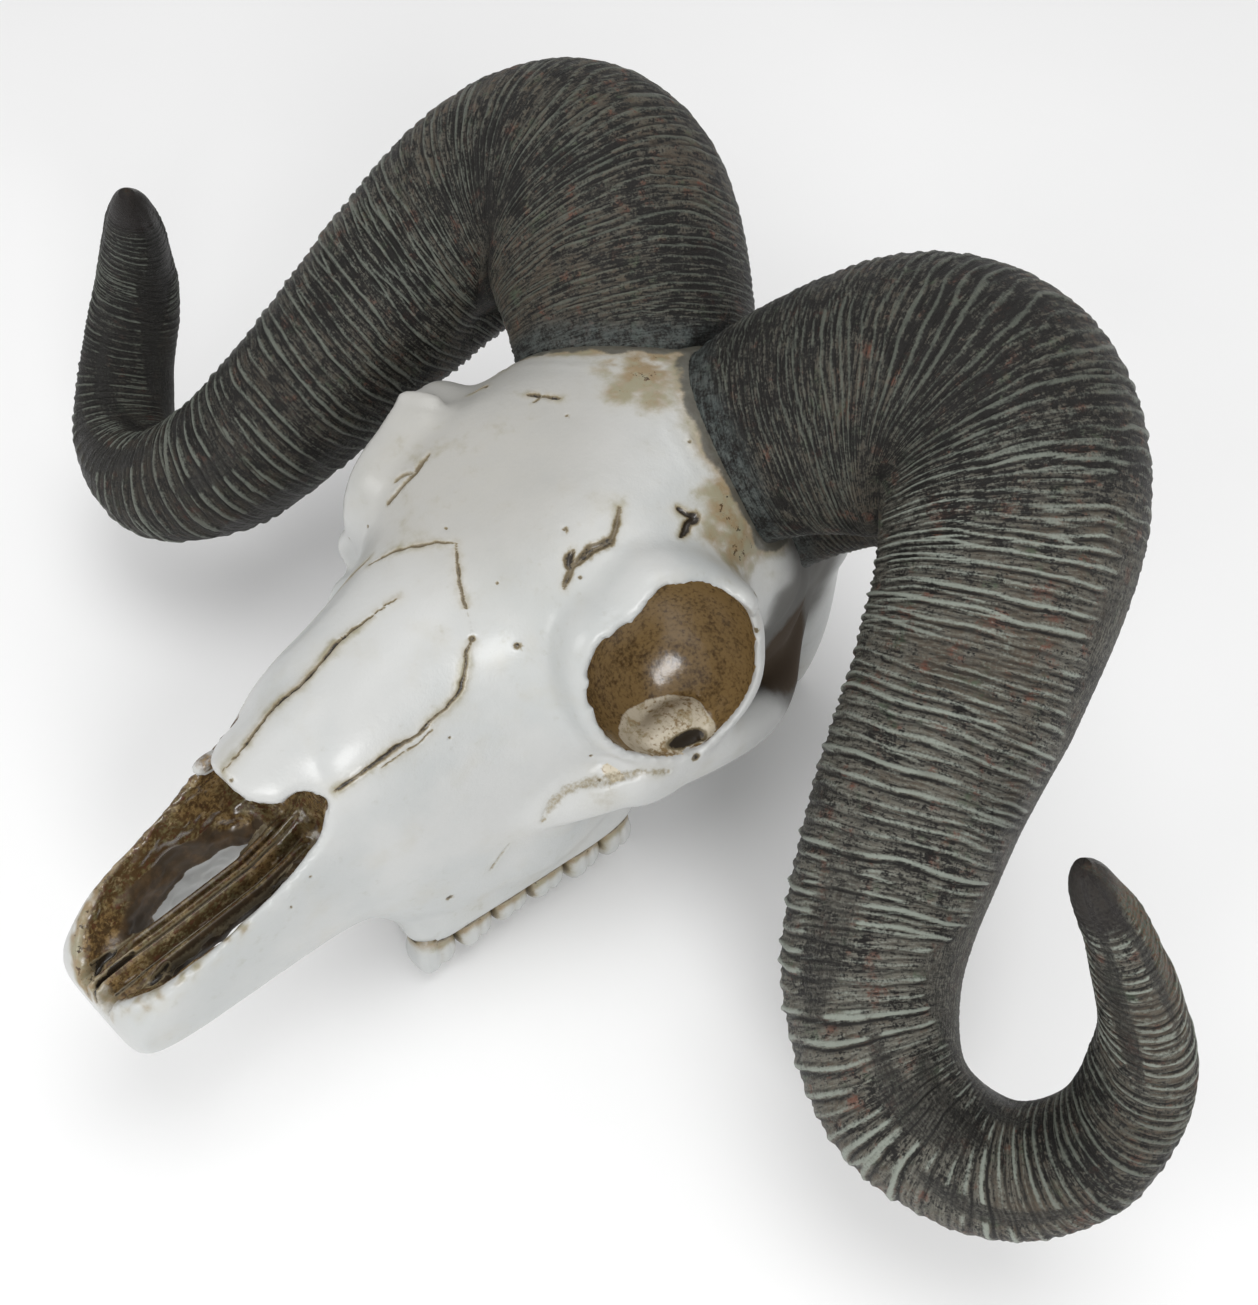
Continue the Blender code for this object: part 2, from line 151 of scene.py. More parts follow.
def divideFaces(obj, chosen, cuts):
    # the faces whose corners are all chosen are divided, then eased
    mesh = obj.data
    corners = np.empty(len(mesh.loops), dtype=np.int64)
    mesh.loops.foreach_get("vertex_index", corners)
    starts = np.empty(len(mesh.polygons), dtype=np.int64)
    mesh.polygons.foreach_get("loop_start", starts)
    inside = np.minimum.reduceat(chosen[corners].astype(np.int8), starts) > 0
    bpy.context.tool_settings.mesh_select_mode = (False, False, True)
    inEditMode(obj, select_all={"action": "DESELECT"})
    mesh.polygons.foreach_set("select", inside)
    inEditMode(obj, subdivide={"number_cuts": cuts}, vertices_smooth={"factor": 0.5, "repeat": cuts},
               select_all={"action": "DESELECT"})


def searchTree(samples):
    tree = KDTree(len(samples))
    for i, sample in enumerate(samples):
        tree.insert(sample, i)
    tree.balance()
    return tree


def nearestOn(points, samples):
    # distance from each point to the nearest sample, and which sample that is
    tree = searchTree(samples)
    found = [tree.find(point) for point in points]
    return np.array([hit[2] for hit in found]), np.array([hit[1] for hit in found])


def distanceTo(trees, points, reach):
    # distance in mm from each place in metres to the nearest of some surfaces, no more than reach
    far = reach * mm
    found = [[tree.find_nearest(Vector(point), far)[3] for point in points] for tree in trees]
    return np.min([[reach if d is None else d / mm for d in row] for row in found], axis=0)


def noiseField(points, scale, offset):
    # smooth noise from -1 to 1 at each point
    shift = Vector(offset)
    return np.array([noise.noise(Vector(p) * scale + shift) for p in points])


def splineRows(rows, places):
    # Catmull-Rom through the rows of a table, read at places counted in rows
    rows = np.array(rows, dtype=float)
    places = np.asarray(places, dtype=float)
    last = len(rows) - 1
    i = np.clip(np.floor(places).astype(int), 0, last - 1)
    t = (places - i)[:, None]
    a, b, c, d = (rows[np.clip(i + k, 0, last)] for k in (-1, 0, 1, 2))
    return 0.5 * (2 * b + (c - a) * t + (2 * a - 5 * b + 4 * c - d) * t ** 2 + (3 * b - a - 3 * c + d) * t ** 3)


def dense(rows, count):
    return splineRows(rows, np.linspace(0, len(rows) - 1, count))


def superCircle(count, squareness):
    angle = 2 * math.pi * np.arange(count) / count
    c, s = np.cos(angle), np.sin(angle)
    return (np.sign(c) * np.abs(c) ** (2 / squareness), np.sign(s) * np.abs(s) ** (2 / squareness))


def oval(centre, across, up, halfAcross, halfUp, count, squareness=2.0):
    c, s = superCircle(count, squareness)
    return np.array(centre) + np.outer(c * halfAcross, np.array(across)) + np.outer(s * halfUp, np.array(up))


def rolledTube(name, rings):
    # a flat grid is rolled up: one row of it for each ring, and its two ends are drawn together
    rings = np.array(rings, dtype=float)
    around = rings.shape[1]
    ends = [np.repeat(ring.mean(axis=0)[None], around, axis=0) for ring in (rings[0], rings[-1])]
    rows = np.concatenate(([ends[0]], rings, [ends[1]]))
    bpy.ops.object.select_all(action="DESELECT")
    bpy.ops.mesh.primitive_grid_add(x_subdivisions=around, y_subdivisions=len(rows) - 1, size=2)
    tube = bpy.context.object
    tube.name = tube.data.name = name
    flat = vertexArray(tube)
    column = np.rint((flat[:, 0] + 1) / 2 * around).astype(int) % around
    row = np.rint((flat[:, 1] + 1) / 2 * (len(rows) - 1)).astype(int)
    setPoints(tube, rows[row, column])
    cleanShell(tube)
    return tube


def eggAt(name, centre, radii):
    bpy.ops.object.select_all(action="DESELECT")
    bpy.ops.mesh.primitive_uv_sphere_add(segments=48, ring_count=28, radius=1, location=place(centre))
    egg = bpy.context.object
    egg.name = name
    egg.scale = [radius * mm for radius in radii]
    return settle(egg)


def rodAlong(name, stops, side=1, count=28):
    rows = dense([(*mirrored(point, side), wide, tall) for point, wide, tall in stops], 6 * len(stops))
    rings = []
    for row, tangent in zip(rows, np.gradient(rows[:, :3], axis=0)):
        tangent = Vector(tangent).normalized()
        across = tangent.cross(Vector((0, 0, 1)))
        if across.length < 0.5:          # a rod that runs nearly upright
            across = Vector((1, 0, 0))
        across = (across - tangent * across.dot(tangent)).normalized()
        rings.append(oval(row[:3], across, tangent.cross(across), row[3], row[4], count))
    return rolledTube(name, rings)


def cutAway(obj, cutter):
    step = obj.modifiers.new("cut", "BOOLEAN")
    step.object = cutter
    step.operation = "DIFFERENCE"
    step.solver = "MANIFOLD"
    applyModifiers(obj)
    bpy.data.objects.remove(cutter, do_unlink=True)


def remeshed(obj, grain, rounding):
    fuse = obj.modifiers.new("fuse", "REMESH")
    fuse.mode = "VOXEL"
    fuse.voxel_size = grain * mm
    soft = obj.modifiers.new("round", "SMOOTH")
    soft.factor = 0.5
    soft.iterations = rounding
    applyModifiers(obj)


# y, half width, top z, z of the widest point, bottom z, squareness above it, squareness below it
skullShape = {
    "sections": (
        (-187.0, 14.5, 59.0, 54.0, 49.0, 2.8, 2.6),
        (-183.5, 18.5, 66.0, 55.0, 46.0, 3.2, 3.0),
        (-172.0, 20.5, 76.5, 58.0, 42.0, 3.4, 3.0),
        (-156.0, 21.0, 83.5, 62.0, 38.0, 3.4, 3.0),
        (-140.0, 21.5, 91.5, 64.0, 34.0, 3.2, 2.8),
        (-128.0, 22.5, 99.0, 64.0, 32.0, 3.0, 2.6),
        (-118.0, 25.0, 108.0, 62.0, 31.0, 2.8, 2.6),
        (-109.0, 28.5, 112.5, 60.0, 21.0, 2.6, 3.0),
        (-95.0, 32.5, 117.5, 58.0, 15.0, 2.3, 3.4),
        (-80.0, 36.5, 122.5, 60.0, 14.0, 2.2, 3.4),
        (-66.0, 41.0, 127.0, 70.0, 14.0, 2.3, 3.0),
        (-52.0, 46.5, 131.5, 92.0, 15.0, 2.7, 1.8),
        (-34.0, 51.0, 136.5, 100.0, 20.0, 2.6, 1.5),
        (-18.0, 53.0, 140.0, 102.0, 28.0, 2.15, 1.5),
        (0.0, 49.0, 142.0, 102.0, 34.0, 2.2, 1.7),
        (18.0, 43.5, 140.5, 96.0, 36.0, 2.5, 2.2),
        (36.0, 41.0, 132.0, 84.0, 36.0, 2.3, 2.2),
        (54.0, 40.0, 112.0, 76.0, 36.0, 2.2, 2.2),
        (66.0, 31.0, 96.0, 70.0, 42.0, 2.2, 2.2),
        (72.0, 20.0, 84.0, 68.0, 52.0, 2.2, 2.2),
    ),
    "middleEggs": {"braincase": ((0, 26, 84), (44.5, 45, 44)), "napeCrest": ((0, 66, 92), (30, 8, 12))},
    "pairedEggs": {
        "temple": ((40, 6, 80), (11, 24, 26)),
        "hornRoot": ((46.0, 4, 96), (8.6, 14, 15)),
        "cheekWall": ((30.0, -60, 39), (8.6, 27, 19)),
        "earCapsule": ((24, 34, 34), (9, 13, 9)),
        "condyle": ((12.0, 66.5, 48), (8.0, 9.5, 10.5)),
    },
    "middleHollows": {"brainOpening": ((0, 77, 56), (9, 11, 9))},
    "pairedHollows": {"cheekHollow": ((37, -2, 34), (12, 27, 25)), "templeHollow": ((66, 3, 92), (14, 14, 25))},
    "singleEggs": {                  # the two sides of the casting differ in small knobs
        "browKnob": ((57.5, -21, 116), (6, 8, 6)),
        "browKnobRight": ((-56.0, -22, 109.8), (6, 8, 6)),
        "rimBump": ((-49.6, -60.0, 90), (5.0, 5.5, 7)),
        "cheekSwell": ((-41.5, -69, 81), (5.0, 8, 9)),
        "noseKnob": ((-15.2, -134.2, 91.2), (2.6, 4.6, 2.6)),
    },
    "middleRods": {"skullBase": (((0, -30, 44), 14, 12), ((0, 10, 42), 14, 10), ((0, 50, 42), 14, 10))},
    "pairedRods": {
        "cheekArch": (((29, -84, 58), 4, 6), ((39, -68, 61), 6, 8), ((50.5, -50, 66), 6.5, 9),
                      ((56, -26, 63), 7, 9), ((56.0, -6, 57), 6.5, 8), ((50.5, 10, 53), 6, 7),
                      ((41, 23, 55), 6.5, 8.5), ((33, 34, 62), 8, 12)),
        "jugularProcess": (((28, 48, 60), 9, 15), ((30, 51, 36), 5.5, 10), ((29, 52, 16), 4.0, 7),
                           ((27, 50, 0.4), 3.2, 4.2)),
        "wingPlate": (((15, -34, 34), 5, 14), ((13, -14, 34), 4, 13), ((11, 6, 38), 4, 8)),
        "toothRidge": (((21.5, -107, 29), 4, 5), ((22.3, -102.5, 22.5), 6.3, 7.5), ((24, -91, 23.2), 7, 8.5),
                       ((27, -65, 22.6), 7.5, 8.5), ((29, -40, 20.5), 7, 8), ((29, -32, 27), 5, 8)),
    },
    "firstGrain": 1.8,
    "easing": 9,             # rounds of smoothing before anything is cut
    "grain": 1.5,
    "rounding": 2,
    "rings": 110,
    "around": 96,
}

# The outline is a polar table in the plane of the socket: degrees from "along", share of the radius
socket = {
    "centre": Vector((54.4, -38.3, 100.0)),
    "along": Vector((6.5, 22.5, -2.5)),
    "up": Vector((-4.8, 1.0, 26.0)),
    "outline": ((0, 1.03), (25, 1.08), (45, 1.10), (65, 1.13), (80, 1.13), (94, 1.115), (102, 1.05),
                (110, 0.995), (118, 0.985), (127, 1.04), (137, 1.10), (150, 1.107), (165, 1.07), (183, 1.0),
                (200, 0.975), (220, 0.957), (240, 0.935), (250, 0.94), (260, 0.975), (272, 1.02), (282, 1.04),
                (293, 0.99), (307, 0.99), (320, 1.03), (337, 1.045), (350, 1.035), (360, 1.03)),
    "around": 72,
    "rim": 4.2,
    # distance inward and size, and for the rim the share of its thickness
    "rimSteps": ((-1.2, 1.0, 0.4), (1.5, 1.0, 1.0), (12.0, 1.0, 1.2), (34.0, 0.9, 0.0)),
    "depthSteps": ((-16.0, 1.12), (-2.0, 1.0), (3.0, 1.03), (9.0, 1.0), (15.0, 0.9), (20.0, 0.74), (24.0, 0.5),
                   (26.0, 0.22)),
    "dome": ((50.6, -36.2, 65.6), (9.6, 22.0, 13.0)),
    # place, length, width and depth of the dark hollow in the dome
    "domePit": ((55.5, -36.5, 74.2), 8.5, 2.4, 3.2),
}

# back from the tip, half width, height of the top line, fall towards the sides for each square mm
noseBones = {
    "tip": -137.6,
    "rows": ((0.0, 4.6, 104.6, 0.060), (1.2, 7.6, 105.2, 0.058), (3.2, 10.0, 105.9, 0.054),
             (6.4, 12.6, 107.0, 0.047), (10.0, 13.3, 108.1, 0.046), (13.0, 14.3, 109.0, 0.045),
             (15.0, 16.6, 109.6, 0.044), (17.5, 18.6, 110.3, 0.041), (24.0, 19.0, 112.0, 0.034),
             (34.0, 18.0, 114.4, 0.024), (44.0, 16.0, 116.6, 0.020)),
    "thickness": 4.6,
    "rings": 60,
    "across": 33,
}

# y, half width of the wall and of the floor, height of the left rim and of the right rim, height of the floor
noseTrough = {
    "rows": ((-192.0, 6.0, 5.0, 64.0, 64.0, 58.0), (-183.0, 9.0, 6.5, 66.0, 67.0, 60.0),
             (-174.5, 13.5, 10.5, 69.0, 72.0, 60.5), (-169.5, 15.5, 12.0, 71.5, 74.0, 60.5),
             (-161.0, 16.8, 13.0, 73.5, 76.5, 60.5), (-151.7, 17.2, 14.0, 75.5, 80.0, 60.8),
             (-139.0, 17.4, 14.5, 79.0, 88.0, 61.2), (-130.0, 17.2, 14.5, 83.5, 92.0, 63.5),
             (-126.5, 17.2, 14.0, 86.0, 94.0, 65.0), (-122.5, 17.2, 12.5, 93.0, 97.0, 67.0),
             (-118.5, 16.5, 9.0, 99.0, 100.0, 71.0)),
    "septumHalf": 2.4,
    "septumRise": 4.2,
    # back and front end of each slot, its straight inner side, its width, the share of its length that curves
    "slot": (-127.5, -173.0, 6.6, 9.6, 0.62),
    "slotEnds": (30.0, 75.0),        # the slots are cut between these heights
    "slotLip": (((6.4, -137, 61.0), 1.4, 1.4), ((6.7, -131, 63.8), 1.6, 1.6), ((9.2, -127.4, 65.8), 1.8, 1.8),
                ((13.0, -127.6, 66.2), 1.8, 1.8), ((15.8, -131.5, 65.0), 1.5, 1.5)),
    "reach": (-189.5, -121.0),       # the floor is shaped between these
    "rings": 70,
}

# y, half width and height of the ceiling
palate = {
    "rows": ((-176.0, 7.0, 46.0), (-166.0, 14.0, 53.0), (-150.0, 16.5, 55.0), (-130.0, 16.0, 55.0),
             (-116.0, 14.5, 47.0), (-104.0, 14.0, 39.0), (-90.0, 15.0, 32.0), (-50.0, 18.0, 30.0),
             (-22.0, 18.0, 34.0), (-10.0, 14.0, 38.0)),
    "arch": 12.0,
    "below": -20.0,
    "rings": 50,
}


def sectionRings():
    rings = []
    count = skullShape["around"]
    for y, half, top, middle, bottom, above, below in dense(skullShape["sections"], skullShape["rings"]):
        upper, lower = superCircle(count, above), superCircle(count, below)
        over = upper[1] > 0
        across = np.where(over, upper[0], lower[0]) * half
        height = middle + np.where(over, upper[1] * (top - middle), lower[1] * (middle - bottom))
        rings.append(np.stack((across, np.full(count, y), height), axis=1))
    return rings


def noseBoneRings():
    rings = []
    share = np.linspace(-1, 1, noseBones["across"])
    for back, half, top, fall in dense(noseBones["rows"], noseBones["rings"]):
        x = share * half
        over = top - fall * x ** 2
        under = over - noseBones["thickness"] * (1 - share ** 8) ** 0.5 - 0.4
        y = np.full(len(x), noseBones["tip"] + back)
        rings.append(np.concatenate((np.stack((x, y, over), 1), np.stack((x, y, under), 1)[::-1])))
    return rings


def socketRing(side, inward, size, rim):
    along, up = socket["along"], socket["up"]
    axis = along.cross(up).normalized()
    turns, shares = np.array(socket["outline"]).T
    angle = 2 * math.pi * np.arange(socket["around"]) / socket["around"]
    share = np.interp(np.degrees(angle), turns, shares)[:, None] * size
    c, s = np.cos(angle)[:, None], np.sin(angle)[:, None]
    ring = (np.array(socket["centre"] - axis * inward) + c * (share + rim / along.length) * np.array(along)
            + s * (share + rim / up.length) * np.array(up))
    return ring * (side, 1, 1)


def socketTube(name, side, steps):
    # a step is the distance inward, the size and, for a rim, the share of its thickness
    return rolledTube(name, [socketRing(side, inward, size, socket["rim"] * sum(rim))
                             for inward, size, *rim in dense(steps, 5 * len(steps))])


def troughTube():
    half, rise = noseTrough["septumHalf"], noseTrough["septumRise"]
    rings = []
    for y, wall, narrow, rimLeft, rimRight, floor in dense(noseTrough["rows"], noseTrough["rings"]):
        flanks = [[(30.0, 135.0), (30.0, rim + 3.5), (wall + 2.5, rim + 0.8), (wall, rim - 1.2),
                   (narrow + 1.0, floor + 4), (narrow, floor + 0.6), (narrow - 2, floor), (half + 0.8, floor),
                   (half, floor + rise)] for rim in (rimLeft, rimRight)]
        line = flanks[0] + [(-x, z) for x, z in reversed(flanks[1])]
        rings.append([(x, y, z) for x, z in line])
    return rolledTube("noseTrough", rings)


def slotTube(side):
    back, front, inner, wide, curve = noseTrough["slot"]
    share = np.linspace(0.0, 1.0, 25)[1:-1]
    y = back + (front - back) * share
    outline = [(inner + wide * math.sin(math.pi * t) ** curve, py) for t, py in zip(share, y)]
    outline += [(inner + 0.5 - 0.5 * math.sin(math.pi * t), py) for t, py in zip(share[::-1], y[::-1])]
    return rolledTube("noseSlot", [[(side * x, py, z) for x, py in outline] for z in noseTrough["slotEnds"]])


def palateTube():
    rings = []
    for y, half, ceiling in dense(palate["rows"], palate["rings"]):
        turns = [math.pi * i / 12 for i in range(13)]
        arch = [(half * math.cos(turn), y, ceiling - palate["arch"] + palate["arch"] * math.sin(turn) ** 0.6)
                for turn in turns]
        rings.append(arch + [(-half - 1, y, palate["below"]), (half + 1, y, palate["below"])])
    return rolledTube("palateVault", rings)


def skullMasses():
    masses = [rolledTube("sections", sectionRings())]
    for name, egg in [*skullShape["middleEggs"].items(), *skullShape["singleEggs"].items()]:
        masses.append(eggAt(name, *egg))
    for name, stops in skullShape["middleRods"].items():
        masses.append(rodAlong(name, stops))
    for side in (1, -1):
        masses.append(socketTube("socketRim", side, socket["rimSteps"]))
        for name, (centre, radii) in skullShape["pairedEggs"].items():
            masses.append(eggAt(name, mirrored(centre, side), radii))
        for name, stops in skullShape["pairedRods"].items():
            masses.append(rodAlong(name, stops, side))
    return masses


def easeBody(obj):
    # the masses flow into each other, but the thin processes and tooth ridges keep their size
    y, z = pointsOf(obj)[:, 1:].T
    levels = np.rint(smoothStep(-132, -108, y) * smoothStep(30, 44, z) * 10).astype(int)
    group = obj.vertex_groups.new(name="soft")
    for level in range(1, 11):
        group.add([int(i) for i in np.nonzero(levels == level)[0]], level / 10, "REPLACE")
    ease = obj.modifiers.new("ease", "SMOOTH")
    ease.factor = 0.6
    ease.iterations = skullShape["easing"]
    ease.vertex_group = "soft"
    applyModifiers(obj)
    obj.vertex_groups.clear()


def buildSkull():
    skull = joined(skullMasses(), "skull")
    remeshed(skull, skullShape["firstGrain"], 1)
    easeBody(skull)
    cutters = {"trough": [troughTube()], "palate": [palateTube()], "hollow": [], "socket": [], "slot": []}
    for centre, radii in skullShape["middleHollows"].values():
        cutters["hollow"].append(eggAt("hollow", centre, radii))
    for side in (1, -1):
        cutters["socket"].append(socketTube("socketHollow", side, socket["depthSteps"]))
        cutters["slot"].append(slotTube(side))
        for centre, radii in skullShape["pairedHollows"].values():
            cutters["hollow"].append(eggAt("hollow", mirrored(centre, side), radii))
    trees = {}
    for name, group in cutters.items():
        trees[name] = [treeOf(cutter) for cutter in group]
        for cutter in group:
            cutAway(skull, cutter)
    centre, radii = socket["dome"]
    added = [rolledTube("noseBones", noseBoneRings()), eggAt("noseKnob", *skullShape["singleEggs"]["noseKnob"])]
    added += [eggAt("socketDome", mirrored(centre, side), radii) for side in (1, -1)]
    added += [rodAlong("slotLip", noseTrough["slotLip"], side) for side in (1, -1)]
    skull = joined([skull] + added, "skull")
    remeshed(skull, skullShape["grain"], skullShape["rounding"])
    return skull, trees


# side (0 for both), shares of the width, the depth and the paint, then the places that each line passes
carving = {
    "width": 0.4,
    "depth": 0.6,
    "step": 0.35,
    "wander": 0.28,
    # the faces this near to a line are made small, apart from those in front of this place along Y
    "reach": 2.1,
    "frontEnd": -164.0,
    "lines": (
        (1, 0.95, 1.0, 0.85, ((0.9, -62, 128.3), (4.6, -65, 127.1), (8.3, -67.8, 125.6), (11.6, -69.9, 124.0),
            (14.7, -71.6, 121.9))),
        (1, 0.6, 0.6, 0.3, ((14.7, -71.6, 121.9), (17.5, -72.8, 120.0), (19.6, -74.4, 117.4))),
        (-1, 0.95, 0.9, 0.75, ((-0.9, -62, 128.3), (2.8, -64.1, 127.5), (6.3, -67.1, 126.2),
            (9.9, -69.8, 124.5), (12.3, -71.9, 122.9), (14.6, -74.6, 120.7), (16.9, -76.7, 118.4))),
        (0, 1.0, 1.0, 1.0, ((19.6, -74.4, 117.4), (20.2, -76.8, 115.7), (21.9, -79.3, 112.5),
            (23.5, -82.7, 108.7), (23.7, -86.8, 106.3), (23.3, -91.4, 104.9))),
        (0, 1.35, 1.1, 1.0, ((23.3, -91.4, 104.9), (23, -97.5, 102.8), (22.2, -101.6, 102.6),
            (21.5, -107.4, 101.5), (20.3, -113.6, 99.9), (18.6, -119.5, 98))),
        (0, 0.6, 0.7, 0.7, ((24.8, -93.0, 103.0), (24.4, -97.8, 101.2), (23.4, -102.8, 100.8),
            (22.4, -108.0, 99.6))),
        (1, 1.0, 1.0, 1.0, ((-0.1, -80.6, 122.2), (-1.7, -86.9, 120.1), (-2.9, -92.5, 118.2),
            (-3.7, -98.5, 116.1), (-3.2, -104.4, 114.7), (-2.6, -110.3, 113.1), (-3, -114.2, 111.9),
            (-3.2, -119.1, 110.3), (-1.7, -125.8, 108.4), (-0.6, -131.3, 106.7), (-0.4, -137.4, 104.6))),
        (1, 0.5, 0.5, 0.6, ((-0.9, -84.0, 121.6), (-2.6, -90.0, 119.6), (-4.4, -96.5, 117.4))),
        (-1, 2.3, 1.5, 0.75, ((27.2, -46.6, 130.3), (26.7, -50.7, 128.8), (26.7, -54.3, 126.9),
            (27.4, -57.4, 124.3), (28.7, -60.3, 120.8))),
        (-1, 1.6, 1.0, 0.55, ((26.9, -52.5, 127.8), (29.6, -53.5, 126.0), (31.0, -56.0, 124.0))),
        (1, 2.3, 1.8, 0.85, ((26.2, -29.7, 135.9), (28.2, -32.8, 134.6), (30.2, -36.6, 132.9), (29.4, -40, 132),
            (28.5, -41.8, 131.7), (28.2, -45, 130.6), (28.1, -47.9, 129.5), (28.8, -50.7, 128),
            (29.7, -52.7, 126.6))),
        (1, 2.2, 1.8, 1.0, ((25.4, -45.3, 131.3), (26.2, -47.8, 130.2), (28.3, -48.9, 129))),
        (1, 2.3, 1.9, 1.2, ((36.3, -17.5, 135.7), (38.8, -16.5, 134.7), (41, -14.8, 133.6),
            (40.8, -17.2, 133.5), (41.2, -19.1, 133), (41, -21.3, 132.7))),
        (-1, 1.0, 1.0, 1.0, ((36.3, -19.5, 135.7), (38.8, -18.5, 134.7), (40.4, -21.2, 133.5))),
        (-1, 1.3, 1.3, 1.0, ((19.3, -18.6, 139.3), (15.4, -17.3, 139.8), (10.1, -15.2, 140.3))),
        (-1, 0.8, 0.8, 0.6, ((15.4, -17.3, 139.8), (15.0, -20.5, 139.3))),
        (0, 3.4, 1.2, 0.42, ((38.5, -72.5, 61.0), (39.9, -71.2, 64.1), (43.2, -68.5, 69.7), (45.1, -64.1, 71.1),
            (50.3, -58.2, 72.6), (55.7, -52.5, 74.1), (59.3, -44.9, 71.4))),
        (0, 1.4, 0.6, 0.4, ((33.5, -88.0, 45.0), (34.8, -85.0, 49.5), (36.2, -82.0, 53.5))),
        (1, 1.5, 1.2, 1.3, ((-0.6, -173, 64.6), (-0.5, -177, 64.0), (-0.2, -181.5, 63.2), (0.8, -185.6, 63.0),
            (1.4, -186.8, 59.8))),
        (1, 1.9, 1.2, 1.2, ((-6.9, -175.4, 60.6), (-6.6, -179.6, 60.8), (-5.4, -182.6, 59.8))),
        (1, 1.1, 1.0, 1.0, ((-3.4, -178.5, 61.4), (-3.0, -183.5, 61.0), (-1.9, -186.6, 58.2))),
        (1, 1.7, 1.2, 1.2, ((6.6, -168.5, 60.9), (6.9, -172.0, 60.5), (7.4, -174.9, 60.6))),
    ),
}

# place, radius and paint of small dark pits in the casting
pits = (
    (27.4, -66.9, 114.9, 0.75, 1.0), (20.0, -42.7, 133.2, 0.6, 0.9), (-4.5, -60.5, 128.7, 0.4, 0.8),
    (19.6, -74.4, 117.4, 0.8, 0.9), (16.3, -62.5, 125.8, 0.4, 0.7), (31.0, -48.4, 128.2, 0.45, 0.9),
    (-45.0, -65.3, 98.8, 0.4, 0.8), (-34.1, -63.5, 110.9, 0.4, 0.8), (-4.1, -18.5, 139.9, 0.45, 0.8),
    (24.8, -2.4, 140.2, 0.45, 0.8), (2.4, -136.6, 103.5, 0.5, 0.8), (26.8, -90.0, 98.9, 0.4, 0.7),
    (61.8, -17.0, 104.0, 0.9, 1.0), (62.4, -15.6, 103.6, 0.7, 0.9), (60.5, -13.5, 119.0, 0.8, 0.9),
    (60.8, -36.5, 71.5, 1.2, 1.0), (46.5, -60.5, 78.0, 0.5, 0.8), (48.0, -60.0, 72.0, 0.5, 0.8),
    (33.0, -101.0, 40.0, 0.9, 1.0), (22.5, -133.0, 78.0, 0.4, 0.7), (21.0, -140.0, 72.0, 0.4, 0.7),
)

# place, radius and strength of the ochre wash between and under the horns, in the grooves and at the teeth
stains = (
    (-4.0, -181.0, 61.5, 6.5, 0.9), (3.5, -184.0, 61.5, 5.0, 0.75), (0.9, 5.1, 142.0, 9.0, 1.0),
    (0.9, -3.5, 142.0, 6.0, 0.8), (8.5, 0.6, 141.9, 6.0, 0.9), (-8.5, 2.0, 141.9, 6.0, 0.7),
    (40.3, -4.9, 131.9, 8.0, 1.2), (45.5, -8.0, 127.5, 9.0, 1.3), (48.5, -6.0, 121.5, 9.5, 1.3),
    (46.0, -14.0, 129.5, 6.0, 0.7), (34.0, -6.0, 137.0, 5.0, 0.7), (49.4, -0.3, 117.5, 7.0, 0.9),
    (-5.5, 13.6, 141.8, 9.0, 1.1), (-4.2, 8.4, 142.2, 7.0, 0.9), (-22.0, -45.0, 133.0, 34.0, 0.22),
    (18.0, -52.0, 130.0, 30.0, 0.16), (-42.0, -8.0, 133.0, 7.0, 0.8), (-48.0, -8.0, 126.0, 8.0, 0.8),
    (54.0, 0.0, 114.0, 8.0, 0.55), (52.9, -60.9, 66.7, 5.5, 0.45), (36.4, -80.4, 54.6, 5.0, 0.3),
    (31.0, -92.0, 26.0, 5.0, 0.3), (34.0, -58.0, 26.0, 6.0, 0.45), (33.0, -74.0, 24.0, 6.0, 0.35),
    (-52.9, -60.9, 66.7, 6.0, 0.4), (0.0, 66.0, 60.0, 14.0, 0.6), (0.0, 64.0, 96.0, 16.0, 0.35),
    (27.0, 50.0, 12.0, 10.0, 0.4), (-27.0, 50.0, 12.0, 10.0, 0.4), (0.0, 40.0, 40.0, 22.0, 0.4),
    (24.0, 34.0, 30.0, 9.0, 0.5), (-24.0, 34.0, 30.0, 9.0, 0.5),
)


def carvedLines(rng):
    # samples along every line, each with its half width, depth and paint
    samples, widths, depths, paints = [], [], [], []
    for which, wide, deep, paint, points in carving["lines"]:
        for side in ((1, -1) if which == 0 else (which,)):
            table = np.array([mirrored(point, side) for point in points], dtype=float)
            length = np.linalg.norm(np.diff(table, axis=0), axis=1).sum()
            count = max(8, int(length / carving["step"]))
            line = dense(table, count)
            seed = Vector([rng.uniform(0, 50) for _ in range(3)])
            wander = np.array([list(noise.noise_vector(Vector(p) * 0.55 + seed)) for p in line])
            wear = noiseField(line, 0.3, seed)
            ends = np.sin(math.pi * np.linspace(0.06, 0.94, count)) ** 0.45
            samples += list(line + carving["wander"] * wander)
            widths += list(carving["width"] * wide * ends * (1 + 0.45 * wear))
            depths += list(carving["depth"] * deep * ends * (1 + 0.3 * wear))
            paints += list(paint * (0.75 + 0.25 * ends) * (1 + 0.25 * wear))
    return np.array(samples), np.array(widths), np.array(depths), np.array(paints)


def onSurface(obj, samples):
    # the samples in mm are dropped onto the nearest place of the surface
    tree = treeOf(obj)
    return np.array([inMillimetres(np.array(tree.find_nearest(place(sample))[0])) for sample in samples])


